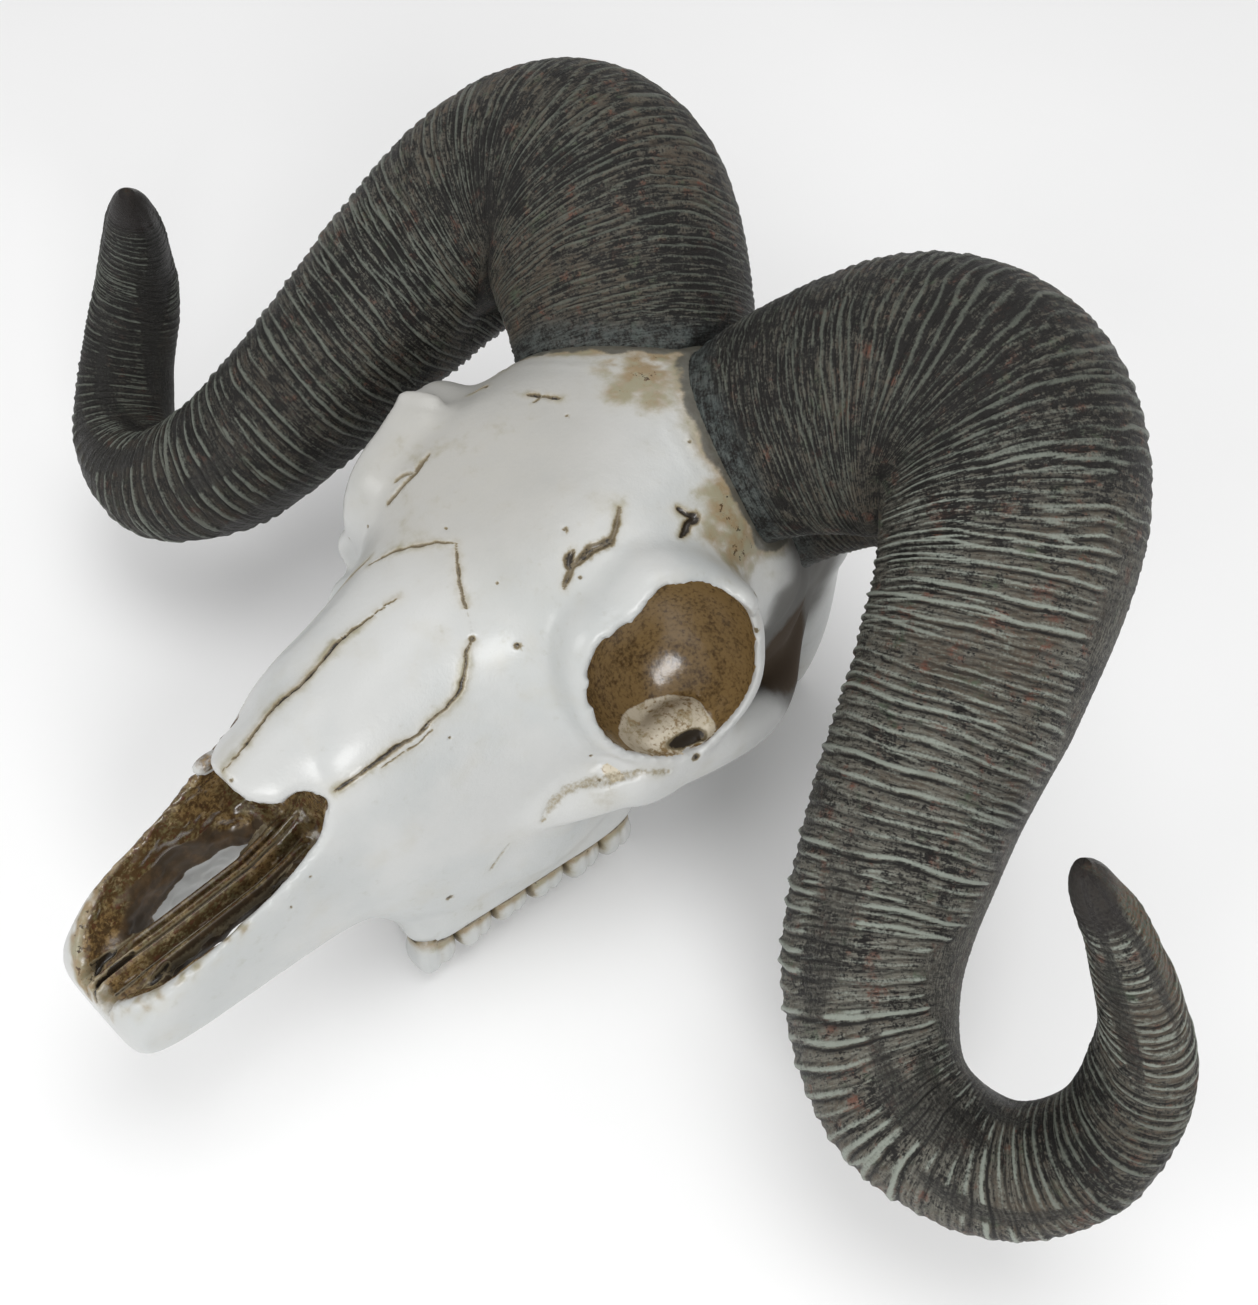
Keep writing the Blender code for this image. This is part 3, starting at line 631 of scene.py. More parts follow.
def septumHeight(x, y):
    # two thin ridges with a slit between them, then a rounded bar on each side
    rows = np.array(noseTrough["rows"])
    floor = np.interp(y, rows[:, 0], rows[:, 5])
    across = np.abs(x)
    fade = smoothStep(-121.0, -128.0, y)
    ridges = noseTrough["septumRise"] * smoothStep(2.7, 1.9, across) + 0.75 * hump(across - 1.15, 0.5)
    slit = 1.3 * hump(x, 0.42)
    bar = (2.4 * hump(across - 5.2, 1.35) + 0.5 * hump(across - 4.2, 0.5)) * fade * smoothStep(-178, -170, y)
    return floor + ridges - slit + bar - 0.3


# limits along Y of the carved nose, and how the paint in it ends at its rims and its front
noseLimits = {
    "back": -119.0,
    "fade": (-117.0, -119.0),
    "front": (-185.5, -176.0),
    "leftRim": (0.5, 2.2),           # the paint starts this far over the rim and is full this far below it
    "rightRim": (1.5, 3.5),
    "lumps": ((0.16, (4, 9, 2), 0.9), (0.42, (1, 5, 7), 0.35)),      # scale, offset and height of noise
    # place along Y, height, slope and bend of the line at which the paint of the right slot stops
    "palateEdge": (-148.0, 55.7, 0.2, 0.005),
}


def divideForDetail(skull, trees, marks):
    # smaller faces in the nose and round the hollow of each dome, then on the nose floor, then along every mark
    points, flat = pointsOf(skull), vertexArray(skull)
    y, z = points[:, 1:].T
    noseZone = (distanceTo(trees["trough"], flat, 6.0) < 2.2) & (y < noseLimits["back"]) | (y < -178) & (z > 52)
    slotZone = (distanceTo(trees["slot"], flat, 4.0) < 1.8) & (y < noseLimits["back"]) & (z > 44)
    pitZone = np.linalg.norm(folded(points) - socket["domePit"][0], axis=1) < 13
    divideFaces(skull, noseZone | slotZone | pitZone, 1)

    x, y, z = pointsOf(skull).T
    low, high = noseTrough["reach"]
    onFloor = (np.abs(x) < 7.2) & (y > low) & (y < high) & (np.abs(z - septumHeight(x, y)) < 3.4)
    divideFaces(skull, onFloor & (vertexArray(skull, "normal")[:, 2] > 0.1), 1)

    points = pointsOf(skull)
    distance, _ = nearestOn(points, marks)
    divideFaces(skull, (distance < carving["reach"]) & (points[:, 1] > carving["frontEnd"]), 2)
    print("skull divided", len(skull.data.polygons))


browFinger = {
    "start": (-48.0, -38.0, 132.0), "end": (-40.0, -32.5, 132.8), "radius": 1.7, "rise": 1.2,
    "hollow": (-45.0, -27.0, 131.6), "reach": 8.5, "depth": 3.0, "inward": (0.53, -0.54, -0.65),
}

# centre and radii of painted areas, then where each begins and where it is full, in shares of its radii
washes = {
    "domeShell": (*socket["dome"], (1.2, 1.04)),
    "domePaint": ((52.0, -41.0, 71.0), (12.0, 15.0, 11.0), (1.26, 1.06)),
    # temple and shade are painted shade in the hollow behind each socket, partly a wash
    "temple": ((49.0, 15.0, 66.0), (14.0, 17.0, 14.0), (1.3, 0.7)),
    "shade": ((46.0, 29.0, 72.0), (22.0, 33.0, 42.0), (1.35, 0.8)),
    "dull": ((-18.0, -30.0, 128.0), (52.0, 60.0, 34.0), (1.35, 0.3)),
}


def washOn(points, name, shift=0.0):
    centre, radii, (begin, full) = washes[name]
    return smoothStep(begin, full, np.linalg.norm((points - centre) / np.array(radii), axis=1) + shift)


def nosePaint(points, troughGap, slotWall):
    # 1 on all that the trough and the slots laid bare
    x, y, z = points.T
    rows = np.array(noseTrough["rows"]).T
    rim = np.where(x > 0, np.interp(y, rows[0], rows[3]), np.interp(y, rows[0], rows[4]))
    over, below = (np.where(x > 0, *pair) for pair in zip(noseLimits["leftRim"], noseLimits["rightRim"]))
    paint = smoothStep(2.4, 1.1, troughGap) * smoothStep(*noseLimits["fade"], y)
    paint *= smoothStep(rim + over, rim - below, z) * smoothStep(20.0, 18.2, np.abs(x))
    paint *= 0.35 + 0.65 * smoothStep(*noseLimits["front"], y)
    knob = np.linalg.norm(points - skullShape["singleEggs"]["noseKnob"][0], axis=1)
    paint = np.maximum(np.maximum(paint, slotWall), 0.75 * hump(knob, 4.0) * (z > 90))
    lips = np.array([mirrored(stop[0], side) for side in (1, -1) for stop in noseTrough["slotLip"]])
    lipGap, _ = nearestOn(points, np.concatenate((lips, lips + (0, 0, 1.5))))
    return np.maximum(paint, smoothStep(4.4, 3.4, lipGap))


def paleEdge(points):
    # the paint stops at the lower edge of the right nose slot, where the pale palate begins
    x, y, z = points.T
    middle, height, slope, bend = noseLimits["palateEdge"]
    edge = height + slope * (y - middle) - bend * (y - middle) ** 2 + 0.25 * noiseField(points, 0.3, (1, 6, 2))
    return smoothStep(edge + 0.5, edge - 0.3, z) * (x < -8.5) * smoothStep(-162.5, -161, y) * (y < -128)


def browMove(points, normals):
    # a small finger of bone at the right brow, with a hollow behind it
    start, end = np.array(browFinger["start"]), np.array(browFinger["end"])
    share = np.clip((points - start) @ (end - start) / ((end - start) @ (end - start)), 0, 1)
    gap = np.linalg.norm(points - start - np.outer(share, end - start), axis=1)
    hollow = hump(np.linalg.norm(points - browFinger["hollow"], axis=1), browFinger["reach"])
    move = np.outer(browFinger["depth"] * hollow * smoothStep(0.8, 3.2, gap), browFinger["inward"])
    return move + normals * (browFinger["rise"] * hump(gap, browFinger["radius"]))[:, None]


def socketPaint(points, normals, gap):
    # paint of the socket and of the pale dome in it, and the bite of the dome's dark hollow
    flipped = folded(points)
    centre, along, up = (np.array(socket[name]) for name in ("centre", "along", "up"))
    axis = np.array(socket["along"].cross(socket["up"]).normalized())
    planar = flipped - centre
    inward = -planar @ axis
    reach = np.hypot(planar @ along / socket["along"].length_squared, planar @ up / socket["up"].length_squared)
    inSocket = smoothStep(1.9, 0.9, gap) * smoothStep(0.6, 1.8, inward) * (inward < 34)
    inSocket = np.maximum(inSocket, (reach < 0.97) & (inward > 1.6) & (inward < 34))
    dome = np.maximum(washOn(flipped, "domeShell") * smoothStep(74, 70, points[:, 2]),
                      washOn(flipped, "domePaint", 0.1 * noiseField(points, 0.16, (4, 1, 2))))
    turned = normals * np.where(points[:, :1] < 0, (-1.0, 1.0, 1.0), (1.0, 1.0, 1.0))
    facing = ((centre - 12 * axis - flipped) * turned).sum(axis=1) > 0
    onDome = (inward > 0.4) & (reach < 1.0) | (inward > 1.6) & (reach < 1.3)
    dome = dome * (onDome & facing & (inward < 30))
    pitCentre, pitLong, pitShort, _ = socket["domePit"]
    away = flipped - np.array(pitCentre)
    alongAxis = np.array(socket["along"].normalized())
    onAxis = away @ alongAxis
    rest = np.linalg.norm(away - np.outer(onAxis, alongAxis), axis=1)
    bite = hump(onAxis, pitLong) * hump(rest, pitShort * 1.3) * (inward > 0.8)
    return np.maximum(inSocket, dome), dome, bite


def ochreWash(points, hornGap, troughGap, nearHorns):
    x, y, z = points.T
    ochre = np.zeros(len(points))
    for *spot, radius, strength in stains:
        ochre = np.maximum(ochre, strength * hump(np.linalg.norm(points - np.array(spot), axis=1), radius))
    mottle = 0.84 + 0.4 * noiseField(points, 0.22, (2, 5, 8)) + 0.3 * noiseField(points, 0.6, (8, 1, 3))
    ochre = np.minimum(ochre, 1.0) * mottle
    roots = smoothStep(8.0, 0.5, hornGap + 2.5 * noiseField(points, 0.1, (3, 3, 3)))
    ochre = np.maximum(ochre, 0.75 * roots * nearHorns)
    inNose = smoothStep(5.5, 0.5, troughGap) * (y < -150) * (z > 56)
    return np.maximum(ochre, inNose * (np.where(x < 0, 0.85, 0.3) + 0.75 * noiseField(points, 0.35, (5, 5, 1))))


def detailSkull(skull, trees, horns):
    samples, widths, depths, paints = carvedLines(random.Random(31))
    samples = onSurface(skull, samples)
    spots = onSurface(skull, [pit[:3] for pit in pits])
    divideForDetail(skull, trees, np.concatenate((samples, spots)))
    flat = vertexArray(skull)
    points = inMillimetres(flat)
    normals = vertexArray(skull, "normal")
    x, y, z = points.T
    moved = points.copy()

    # the floor of the nose
    low, high = noseTrough["reach"]
    floorLine = septumHeight(x, y)
    share = (smoothStep(7.0, 6.2, np.abs(x)) * smoothStep(low, low + 5, y) * smoothStep(high, high - 3, y)
             * smoothStep(3.6, 2.4, np.abs(z - floorLine)) * smoothStep(0.0, 0.35, normals[:, 2]))
    moved[:, 2] += share * (floorLine - z)

    # lumps in the walls of the nose
    troughGap = distanceTo(trees["trough"], flat, 5.0)
    slotGap = distanceTo(trees["slot"], flat, 4.0)
    slotWall = (smoothStep(1.7, 0.9, slotGap) * (z < 68) * (y < noseLimits["back"]) * (np.abs(x) < 18)
                * smoothStep(46, 50, z))
    inNose = nosePaint(points, troughGap, slotWall)
    lumps = sum(height * noiseField(points, scale, offset) for scale, offset, height in noseLimits["lumps"])
    walls = inNose * (1 - share) * smoothStep(0.9, 0.5, normals[:, 2])
    moved += normals * (walls * lumps * 1.5)[:, None]
    moved += browMove(points, normals)

    # lines and pits are pressed in, with a slight lip
    distance, index = nearestOn(points, samples)
    width = widths[index]
    lip = 0.12 * hump(distance - 2.2 * width, 0.5)
    moved += normals * ((lip - depths[index] * hump(distance, width)) * (distance < 4))[:, None]
    line = np.clip(1.5 * hump(distance, width * 1.25), 0, 1) * paints[index]
    spotGap, spotIndex = nearestOn(points, spots)
    spotSize, spotPaint = np.array(pits)[spotIndex, 3:].T
    moved -= normals * (0.5 * hump(spotGap, spotSize))[:, None]
    line = np.maximum(line, np.clip(1.6 * hump(spotGap, spotSize), 0, 1) * spotPaint)

    # the sockets: mottled paint, with a pale dome that has a dark hollow
    inSocket, dome, bite = socketPaint(points, normals, distanceTo(trees["socket"], flat, 4.0))
    moved -= normals * (socket["domePit"][3] * 0.7 * bite)[:, None]

    # welts beside the horns
    hornGap = distanceTo([treeOf(horn) for horn in horns], flat, 12.0)
    nearHorns = smoothStep(90, 110, z)
    welts = 0.55 * hump(hornGap - 1.6, 0.9) + 0.4 * hump(hornGap - 4.6, 0.9) + 0.25 * hump(hornGap - 7.6, 1.0)
    moved += normals * (welts * (nearHorns * (hornGap < 11)))[:, None]
    setPoints(skull, moved)

    ochre = ochreWash(points, hornGap, troughGap, nearHorns)
    ochre = np.maximum(ochre, np.where(distance < 4, 0.5 * paints[index] * hump(distance, 2.4), 0))
    pale = paleEdge(points)
    inNose = inNose * (1 - pale)
    # black in the slit of the septum and beside its ridges and bars, a dark wash deepened into painted shade
    beside = np.maximum(hump(np.abs(x) - 3.2, 0.6), hump(np.abs(x) - 7.0, 0.6))
    inkAndShade = 1.2 * np.maximum(hump(x, 0.5), 0.8 * beside) * (inNose > 0.5) * smoothStep(-124, -132, y)
    line = np.maximum(line, inkAndShade * (np.abs(z - floorLine) < 2.5))
    line = np.maximum(line, 1.2 * smoothStep(0.3, 0.6, bite) * (dome > 0.1))
    flipped = folded(points)
    # painted shade, partly a grey wash, in the hollow behind each socket, fading towards the back
    shade = washOn(flipped, "shade") * (inSocket < 0.2) * smoothStep(60, 38, y)
    paintValues(skull, line=line, brown=np.maximum(inNose, inSocket * (1 - 0.85 * dome)), inNose=inNose,
                dome=dome, ochre=ochre, temple=washOn(flipped, "temple"), shade=shade,
                seam=smoothStep(3.6, 0.8, hornGap + 1.2 * lumps) * nearHorns, dull=washOn(points, "dull"),
                deep=slotWall * (1 - pale))


# One table row for each cheek tooth: y, half length, x, height of its tips
teeth = {
    "rows": ((-104.0, 6.6, 22.8, 2.8), (-91.0, 6.2, 24.3, 3.8), (-78.5, 6.2, 25.8, 4.2),
             (-65.5, 6.6, 27.3, 3.2), (-52.0, 6.6, 28.8, 1.0), (-39.0, 6.4, 29.6, 0.0)),
    "halfWidth": 5.7,
    # height above the tip, then shares of the width and of the length
    "levels": ((0.0, 0.42, 0.62), (0.5, 0.6, 0.76), (1.5, 0.76, 0.86), (3.0, 0.9, 0.93), (5.5, 1.0, 0.99),
               (8.5, 1.03, 1.0), (11.0, 0.99, 0.95), (13.5, 0.93, 0.88), (18.0, 0.9, 0.85)),
    "around": 56,
    "rings": 34,
    "cusp": 2.0,
}


def toothTube(side, y, half, x, tip, rng):
    turn = rng.uniform(-0.09, 0.09)
    lean = rng.uniform(-0.6, 0.6)
    c, s = superCircle(teeth["around"], 2.9)
    # a furrow down the middle of both faces, and two cusps at the tip
    furrow = 1 - 0.13 * hump(s, 0.16) - 0.05 * hump(np.abs(s) - 0.52, 0.1)
    rings = []
    for rise, wide, long in dense(teeth["levels"], teeth["rings"]):
        low = math.exp(-(rise / 3.5) ** 2)
        across = c * teeth["halfWidth"] * wide * furrow
        along = s * half * long
        height = tip + rise + teeth["cusp"] * low * (hump(along, 1.7) + 0.8 * hump(np.abs(along) - half, 2.0))
        px = x + across * math.cos(turn) - along * math.sin(turn) + lean * low
        py = y + across * math.sin(turn) + along * math.cos(turn)
        rings.append(np.stack((side * px, py, np.maximum(height, 0.03)), 1))
    return rolledTube("tooth", rings)


def buildTeeth(side):
    rng = random.Random(12 + side)
    row = joined([toothTube(side, *values, rng) for values in teeth["rows"]],
                 "teeth_left" if side > 0 else "teeth_right")
    cleanShell(row)
    return row


def detailTeeth(row, skullTree):
    # brown gathers where a tooth leaves the jaw, in its furrows and between it and the next one
    flat = vertexArray(row)
    x, y, z = inMillimetres(flat).T
    gum = distanceTo([skullTree], flat, 6.0)
    middles = np.array(teeth["rows"])[:, 0]
    between = np.abs(y[:, None] - (middles[:-1] + middles[1:]) / 2).min(axis=1)
    furrow = np.abs(y[:, None] - middles).min(axis=1)
    paintValues(row, line=np.maximum(hump(gum, 0.8), 0.75 * hump(between, 1.0) * smoothStep(4.0, 9.0, z)),
                ochre=0.8 * hump(gum, 2.6) + 0.3 * hump(furrow, 1.1) + 0.4 * hump(between, 2.6))


hornShape = {
    "rows": (            # left horn from root to tip: x, y, z of the middle, then two half widths
        (19.0, 24.0, 109.0, 34.5, 34.0),
        (38.0, 38.0, 126.5, 37.5, 36.0),
        (58.0, 48.0, 140.0, 39.5, 36.5),
        (78.0, 50.0, 141.0, 37.5, 36.0),
        (97.0, 36.0, 130.0, 34.0, 32.0),
        (109.0, 10.0, 109.0, 30.0, 29.0),
        (118.0, -20.0, 86.0, 26.0, 27.0),
        (132.0, -49.0, 62.0, 23.0, 23.0),
        (155.0, -64.0, 47.5, 19.5, 20.0),
        (181.0, -60.0, 46.0, 15.8, 18.6),
        (195.4, -46.8, 60.0, 12.8, 17.0),
        (193.6, -35.8, 88.0, 11.2, 14.9),
        (180.0, -37.0, 119.0, 8.6, 10.8),
        (170.6, -40.2, 135.0, 6.2, 7.2),
        (167.6, -42.0, 141.0, 3.2, 3.7),
    ),
    "rings": 980,
    "around": 100,
    "squareness": 2.1,
    "clearOfMiddle": 2.0,
    "leastShare": 0.11,      # rings stay this share of their spacing apart inside a bend
    "seed": 7,
    # distance from the root and the mean gap between two ridges there, then the height of a crest
    "gaps": ((0, 45, 100, 160, 250, 310, 390), (1.9, 2.0, 2.7, 4.0, 4.3, 3.3, 2.4)),
    "boldHeight": 0.9,
    "fineGaps": (1.2, 2.1),
    "fineHeight": 0.24,
    "sunk": 1.35,            # the ground between the ridges lies this far inside the solid
    "twist": 42.0,           # degrees that the flat of the hook turns
    # place, radius and depth of hollows near the root
    "dents": (((52.0, 8.0, 102.0), 11.0, 6.0), ((58.0, 15.0, 102.0), 13.0, 7.0),
              ((67.0, 18.0, 106.0), 12.0, 6.0)),
    # scale and seed of slow, middle, quick, patch and other
    "noises": ((0.03, 2), (0.075, 5), (0.2, 8), (0.055, 12), (0.06, 17)),
    "backwards": (0.71, 0.7, 0.0),
    # the hook is painted black where it faces this way, towards the camera, as a painted reflection
    "paintedReflectionFacing": (0.455, -0.463, 0.76),
    "paleShare": {1: 1.0, -1: 0.2},  # how pale the middle of each side's horn is
    "rootLength": 112.0,             # only this far can the skull be near
    # behind this line the horn is smooth
    "keel": ((126.2, 29, 146.2), (132.3, 16.8, 133.1), (140.7, -0.8, 103.8), (142.7, -16.3, 92.8),
             (145.2, -27.8, 86.6), (144.1, -48.1, 82.6), (148.7, -53.8, 76.0), (162.3, -54.0, 60.9),
             (170.6, -49.0, 53.4)),
}


def hornFrame():
    # distance along the middle line, table rows and base rings of the left horn
    rows = hornShape["rows"]
    last = len(rows) - 1
    fine = np.linspace(0, last, 2801)
    path = splineRows(rows, fine)[:, :3]
    run = np.concatenate(([0.0], np.cumsum(np.linalg.norm(np.diff(path, axis=0), axis=1))))
    along = np.linspace(0, run[-1], hornShape["rings"])
    places = np.interp(along, run, fine)
    table = splineRows(rows, places)
    raw = np.gradient(table[:, :3], axis=0)
    raw /= np.linalg.norm(raw, axis=1)[:, None]
    least = run[-1] / hornShape["rings"] * hornShape["leastShare"]
    turns = np.radians(hornShape["twist"]) * smoothStep(0.62, 0.84, along / along[-1])
    across = np.array((1.0, 0.0, 0.0))
    rings = []
    for row, place0, turn in zip(table, places, turns):
        # each bend is shared out like a fan
        near = np.clip(np.linspace(place0 - 1, place0 + 1, 15), 0, last)
        direction = sum(np.array([np.interp(near, places, raw[:, k]) for k in range(3)]).T)
        direction = direction / np.linalg.norm(direction)
        across = across - direction * across.dot(direction)
        across /= np.linalg.norm(across)
        wide = across * math.cos(turn) + np.cross(direction, across) * math.sin(turn)
        ring = oval(row[:3], wide, np.cross(direction, wide), row[3], row[4], hornShape["around"],
                    hornShape["squareness"])
        if rings:
            lack = least - (ring - rings[-1]) @ direction
            ring = ring + np.outer(np.maximum(lack, 0.0), direction)
        rings.append(ring)
    return along, table, np.array(rings)


def ridgeSet(rng, length):
    edges, strengths = [-4.0], []
    while edges[-1] < length + 40:
        edges.append(edges[-1] + np.interp(edges[-1], *hornShape["gaps"]) * rng.uniform(0.78, 1.24))
        strengths.append(rng.uniform(0.6, 1.0))
    return np.array(edges), np.array(strengths + [0.8])


def ridgeAt(ridges, phase, half):
    # crest height at each place: steep on the side of the tip, with a furrow below it that is sunk a little and
    # painted black as the shadow under the ridge
    edges, strengths = ridges
    k = np.clip(np.searchsorted(edges, phase), 1, len(edges) - 1)
    k = np.where(phase - edges[k - 1] < edges[k] - phase, k - 1, k)
    d = phase - edges[k]
    crest = np.exp(-(np.abs(d) / np.where(d > 0, half * 0.8, half * 1.3)) ** 2.4) * strengths[k]
    furrow = np.exp(-((d - 1.75 * half) / (half * 0.6)) ** 2) * strengths[k]
    return crest, furrow, k


def grainAt(points, scale, seed):
    return noiseField(points, scale, (seed * 3.1, seed * 7.7, seed * 1.3))


def keelOffset(rings, along):
    # columns from the keel to each place, growing towards the smooth back of the horn
    around = rings.shape[1]
    found = []
    for spot in hornShape["keel"]:
        gap = np.linalg.norm(rings - np.array(spot), axis=2)
        ring, column = np.unravel_index(gap.argmin(), gap.shape)
        onward, before = rings[ring, (column + 5) % around], rings[ring, (column - 5) % around]
        found.append((along[ring], column, (onward - before) @ np.array(hornShape["backwards"])))
    found.sort()
    turns = np.unwrap([column / around * 2 * math.pi for _, column, _ in found]) / (2 * math.pi) * around
    way = np.sign(sum(step for _, _, step in found))
    keel = np.interp(along, [a for a, _, _ in found], turns)[:, None]
    return (way * (np.arange(around)[None, :] - keel) + around / 4) % around - around / 4


def buildHorn(side, skullTree):
    along, table, rings = hornFrame()
    rng = random.Random(hornShape["seed"] + (side < 0))
    count, length, run = hornShape["around"], along[-1], along[:, None]
    spacing = np.linalg.norm(np.gradient(rings, axis=0), axis=2) / (along[1] - along[0])
    open_ = smoothStep(0.14, 0.7, spacing)
    flat = rings.reshape(-1, 3)
    slow, middle, quick, patch, other = (grainAt(flat, scale, seed + side).reshape(spacing.shape)
                                         for scale, seed in hornShape["noises"])
    half = 0.155 * np.interp(along, *hornShape["gaps"])[:, None]
    phaseA = run + 2.6 * slow + 1.0 * middle + 0.25 * quick
    phaseB = run - 2.4 * slow + 1.5 * other + 0.25 * quick
    boldA, furrowA, whichA = ridgeAt(ridgeSet(rng, length), phaseA, half)
    boldB, furrowB, _ = ridgeAt(ridgeSet(rng, length), phaseB, half * 0.8)
    fineRidges = np.cumsum([rng.uniform(*hornShape["fineGaps"]) for _ in range(400)])
    fine, fineFurrow, _ = ridgeAt((fineRidges, np.full(400, 0.9)), run + 2.4 * middle + 0.6 * quick, 0.36)

    # each ridge comes and goes on its own way round the horn, and some split in two
    turn = np.linspace(0, 2 * math.pi, count, endpoint=False)[None, :]
    wave = np.sin(turn * (1 + whichA % 3) + whichA * 2.4) + 1.3 * np.sin(turn * 2 + whichA * 5.1)
    shareA = 0.6 + 0.4 * smoothStep(-1.6, -0.6, wave + 2.0 * patch)
    shareB = smoothStep(0.0, 0.25, other + 0.3 * patch) * 0.9
    bold = np.maximum(boldA * shareA, boldB * shareB)
    furrow = np.maximum(furrowA * shareA, furrowB * shareB) * (1 - smoothStep(0.25, 0.6, bold))

    # which ridges show depends on how far the horn is from its root, and on the side of the keel
    midShare = smoothStep(70, 135, run + 22 * slow)
    tipFade = 1 - smoothStep(length - 20, length - 3, run)
    slim = np.clip(table[:, 3] / 20, 0.45, 1)[:, None]
    edge = keelOffset(rings, along) + 1.6 * quick + 1.5 * middle
    keelOn = smoothStep(95, 125, run) * (1 - smoothStep(length - 90, length - 50, run))
    smooth = smoothStep(-1.0, 3.0, edge) * smoothStep(0.44 * count, 0.36 * count, edge) * keelOn
    near = along < hornShape["rootLength"]
    seam = np.full(spacing.shape, 20.0)
    seam[near] = distanceTo([skullTree], placeAll(rings[near].reshape(-1, 3)), 20.0).reshape(near.sum(), count)
    collar = smoothStep(10.0, 4.0, seam + 1.5 * middle)

    # lengthwise wear breaks up the ridges, most of all along the hook
    sheet = np.broadcast_arrays(turn * 2.2, run * 0.022, 3.0)
    streak = grainAt(np.stack([part.ravel() for part in sheet], axis=1), 1.0, 23 + side).reshape(spacing.shape)
    worn = smoothStep(0.12, 0.32, streak) * smoothStep(0.35 * length, 0.6 * length, run)
    boldShare = 0.5 + 0.5 * midShare
    ridges = bold * boldShare * tipFade * (1 - 0.9 * smooth) * (1 - 0.8 * worn) * (1 - 0.8 * collar)
    furrow = furrow * tipFade * (1 - smooth) * (1 - 0.7 * collar)
    finePart = fine * (1 - 0.6 * collar) * (1 - 0.7 * smooth) * (0.4 + 0.6 * tipFade)
    fineFurrow = 0.6 * fineFurrow * (1 - 0.7 * smooth) * (1 - 0.6 * collar) * tipFade
    welts = 0.55 * hump(seam - 1.4, 0.9) + 0.4 * hump(seam - 4.2, 0.8) + 0.3 * hump(seam - 7.0, 0.9)
    lift = hornShape["boldHeight"] * (ridges - 0.3 * furrow) + hornShape["fineHeight"] * finePart
    lift = lift * slim * open_ + (welts + 0.3 * middle * midShare - hornShape["sunk"])
    for spot, reach, depth in hornShape["dents"]:
        lift -= depth * hump(np.linalg.norm(rings - np.array(spot), axis=2), reach)
    outward = rings - table[:, None, :3]
    far = np.linalg.norm(outward, axis=2)
    grown = rings + outward / far[:, :, None] * lift[:, :, None]
    grown[:, :, 0] = np.maximum(grown[:, :, 0], hornShape["clearOfMiddle"])
    points = grown * (side, 1, 1)
    horn = rolledTube("horn_left" if side > 0 else "horn_right", points)

    # the paint follows the ridges, with painted shadow in their furrows; an amber wash lies on the side that
    # faces out and back near the tip, and a painted dark reflection along the strip of the hook that faces the
    # camera
    tree = searchTree(placeAll(points.reshape(-1, 3)))
    match = np.array([tree.find(vertex.co)[1] for vertex in horn.data.vertices])
    crest = np.maximum(ridges / boldShare, 0.5 * finePart * open_) * (0.3 + 0.7 * open_)
    outer = outward @ np.array(hornShape["backwards"]) / table[:, None, 3]
    facing = outward @ np.array(hornShape["paintedReflectionFacing"]) / far
    onHook = smoothStep(length - 100, length - 80, run) * smoothStep(length - 12, length - 30, run)
    dip = smoothStep(262, 300, run + 14 * slow) * (1 - 0.65 * smoothStep(318, 345, run))
    values = {
        "crest": crest, "furrow": np.maximum(furrow, fineFurrow) * open_, "smooth": smooth, "collar": collar,
        "tip": 1 - tipFade, "middleShare": midShare * (1 - 0.85 * dip) * hornShape["paleShare"][side],
        "worn": worn, "glossAndPaintedReflection": smoothStep(0.8, 0.93, facing) * onHook,
        "dim": (side < 0) * smoothStep(130, 230, run),
        "patina": smoothStep(0.3, 0.75, outer) * smoothStep(length - 80, length - 15, run),
    }
    for name, value in values.items():
        paintValues(horn, **{name: np.broadcast_to(value, spacing.shape).ravel()[match]})
    return horn


view = {
    "position": (221.3, -225.0, 403.7),
    "towards": (-0.45527, 0.46299, -0.76051),
    "lens": 42.926,
    "frameHeight": 36.0,
}


def setCamera():
    data = bpy.data.cameras.new("camera")
    data.lens = view["lens"]
    data.sensor_fit = "VERTICAL"
    data.sensor_height = view["frameHeight"]
    data.clip_start = 0.01
    camera = bpy.data.objects.new("camera", data)
    bpy.context.scene.collection.objects.link(camera)
    camera.location = place(view["position"])
    camera.rotation_euler = Vector(view["towards"]).to_track_quat("-Z", "Y").to_euler()
    bpy.context.scene.camera = camera


# metres and watts
studio = {
    "floorSize": 12.0,
    "floorDark": (0.90, 0.90, 0.90, 1.0),
    "floorPale": (0.94, 0.94, 0.94, 1.0),
    "worldColour": (1.0, 1.0, 1.0, 1.0),
    "worldStrength": 0.62,
    "aim": (0.0, 0.0, 0.08),
    # place, size and power
    "lamps": {
        "overhead": ((0.15, 0.1, 1.3), 0.9, 4.5),
        "side": ((1.2, -0.7, 0.8), 0.5, 9.5),
        "front": ((-0.35, -1.35, 0.8), 0.7, 5.5),
    },
}


class Value:
    # a shader socket that can be used in plain expressions
    def __init__(self, tree, socket):
        self.tree = tree
        self.socket = socket

    def math(self, operation, first, second):
        return addNode(self.tree, "ShaderNodeMath", {"operation": operation}, {0: first, 1: second})

    def __add__(self, other):
        return self.math("ADD", self, other)

    def __radd__(self, other):
        return self.math("ADD", other, self)

    def __sub__(self, other):
        return self.math("SUBTRACT", self, other)

    def __rsub__(self, other):
        return self.math("SUBTRACT", other, self)

    def __mul__(self, other):
        return self.math("MULTIPLY", self, other)

    def __rmul__(self, other):
        return self.math("MULTIPLY", other, self)

    def atMost(self, other):
        return self.math("MINIMUM", self, other)

    def between(self, low, high):
        # 0 below low, 1 above high, smooth in the middle
        return addNode(self.tree, "ShaderNodeMapRange", {"interpolation_type": "SMOOTHSTEP"},
                       {"Value": self, "From Min": low, "From Max": high, "To Min": 0.0, "To Max": 1.0})


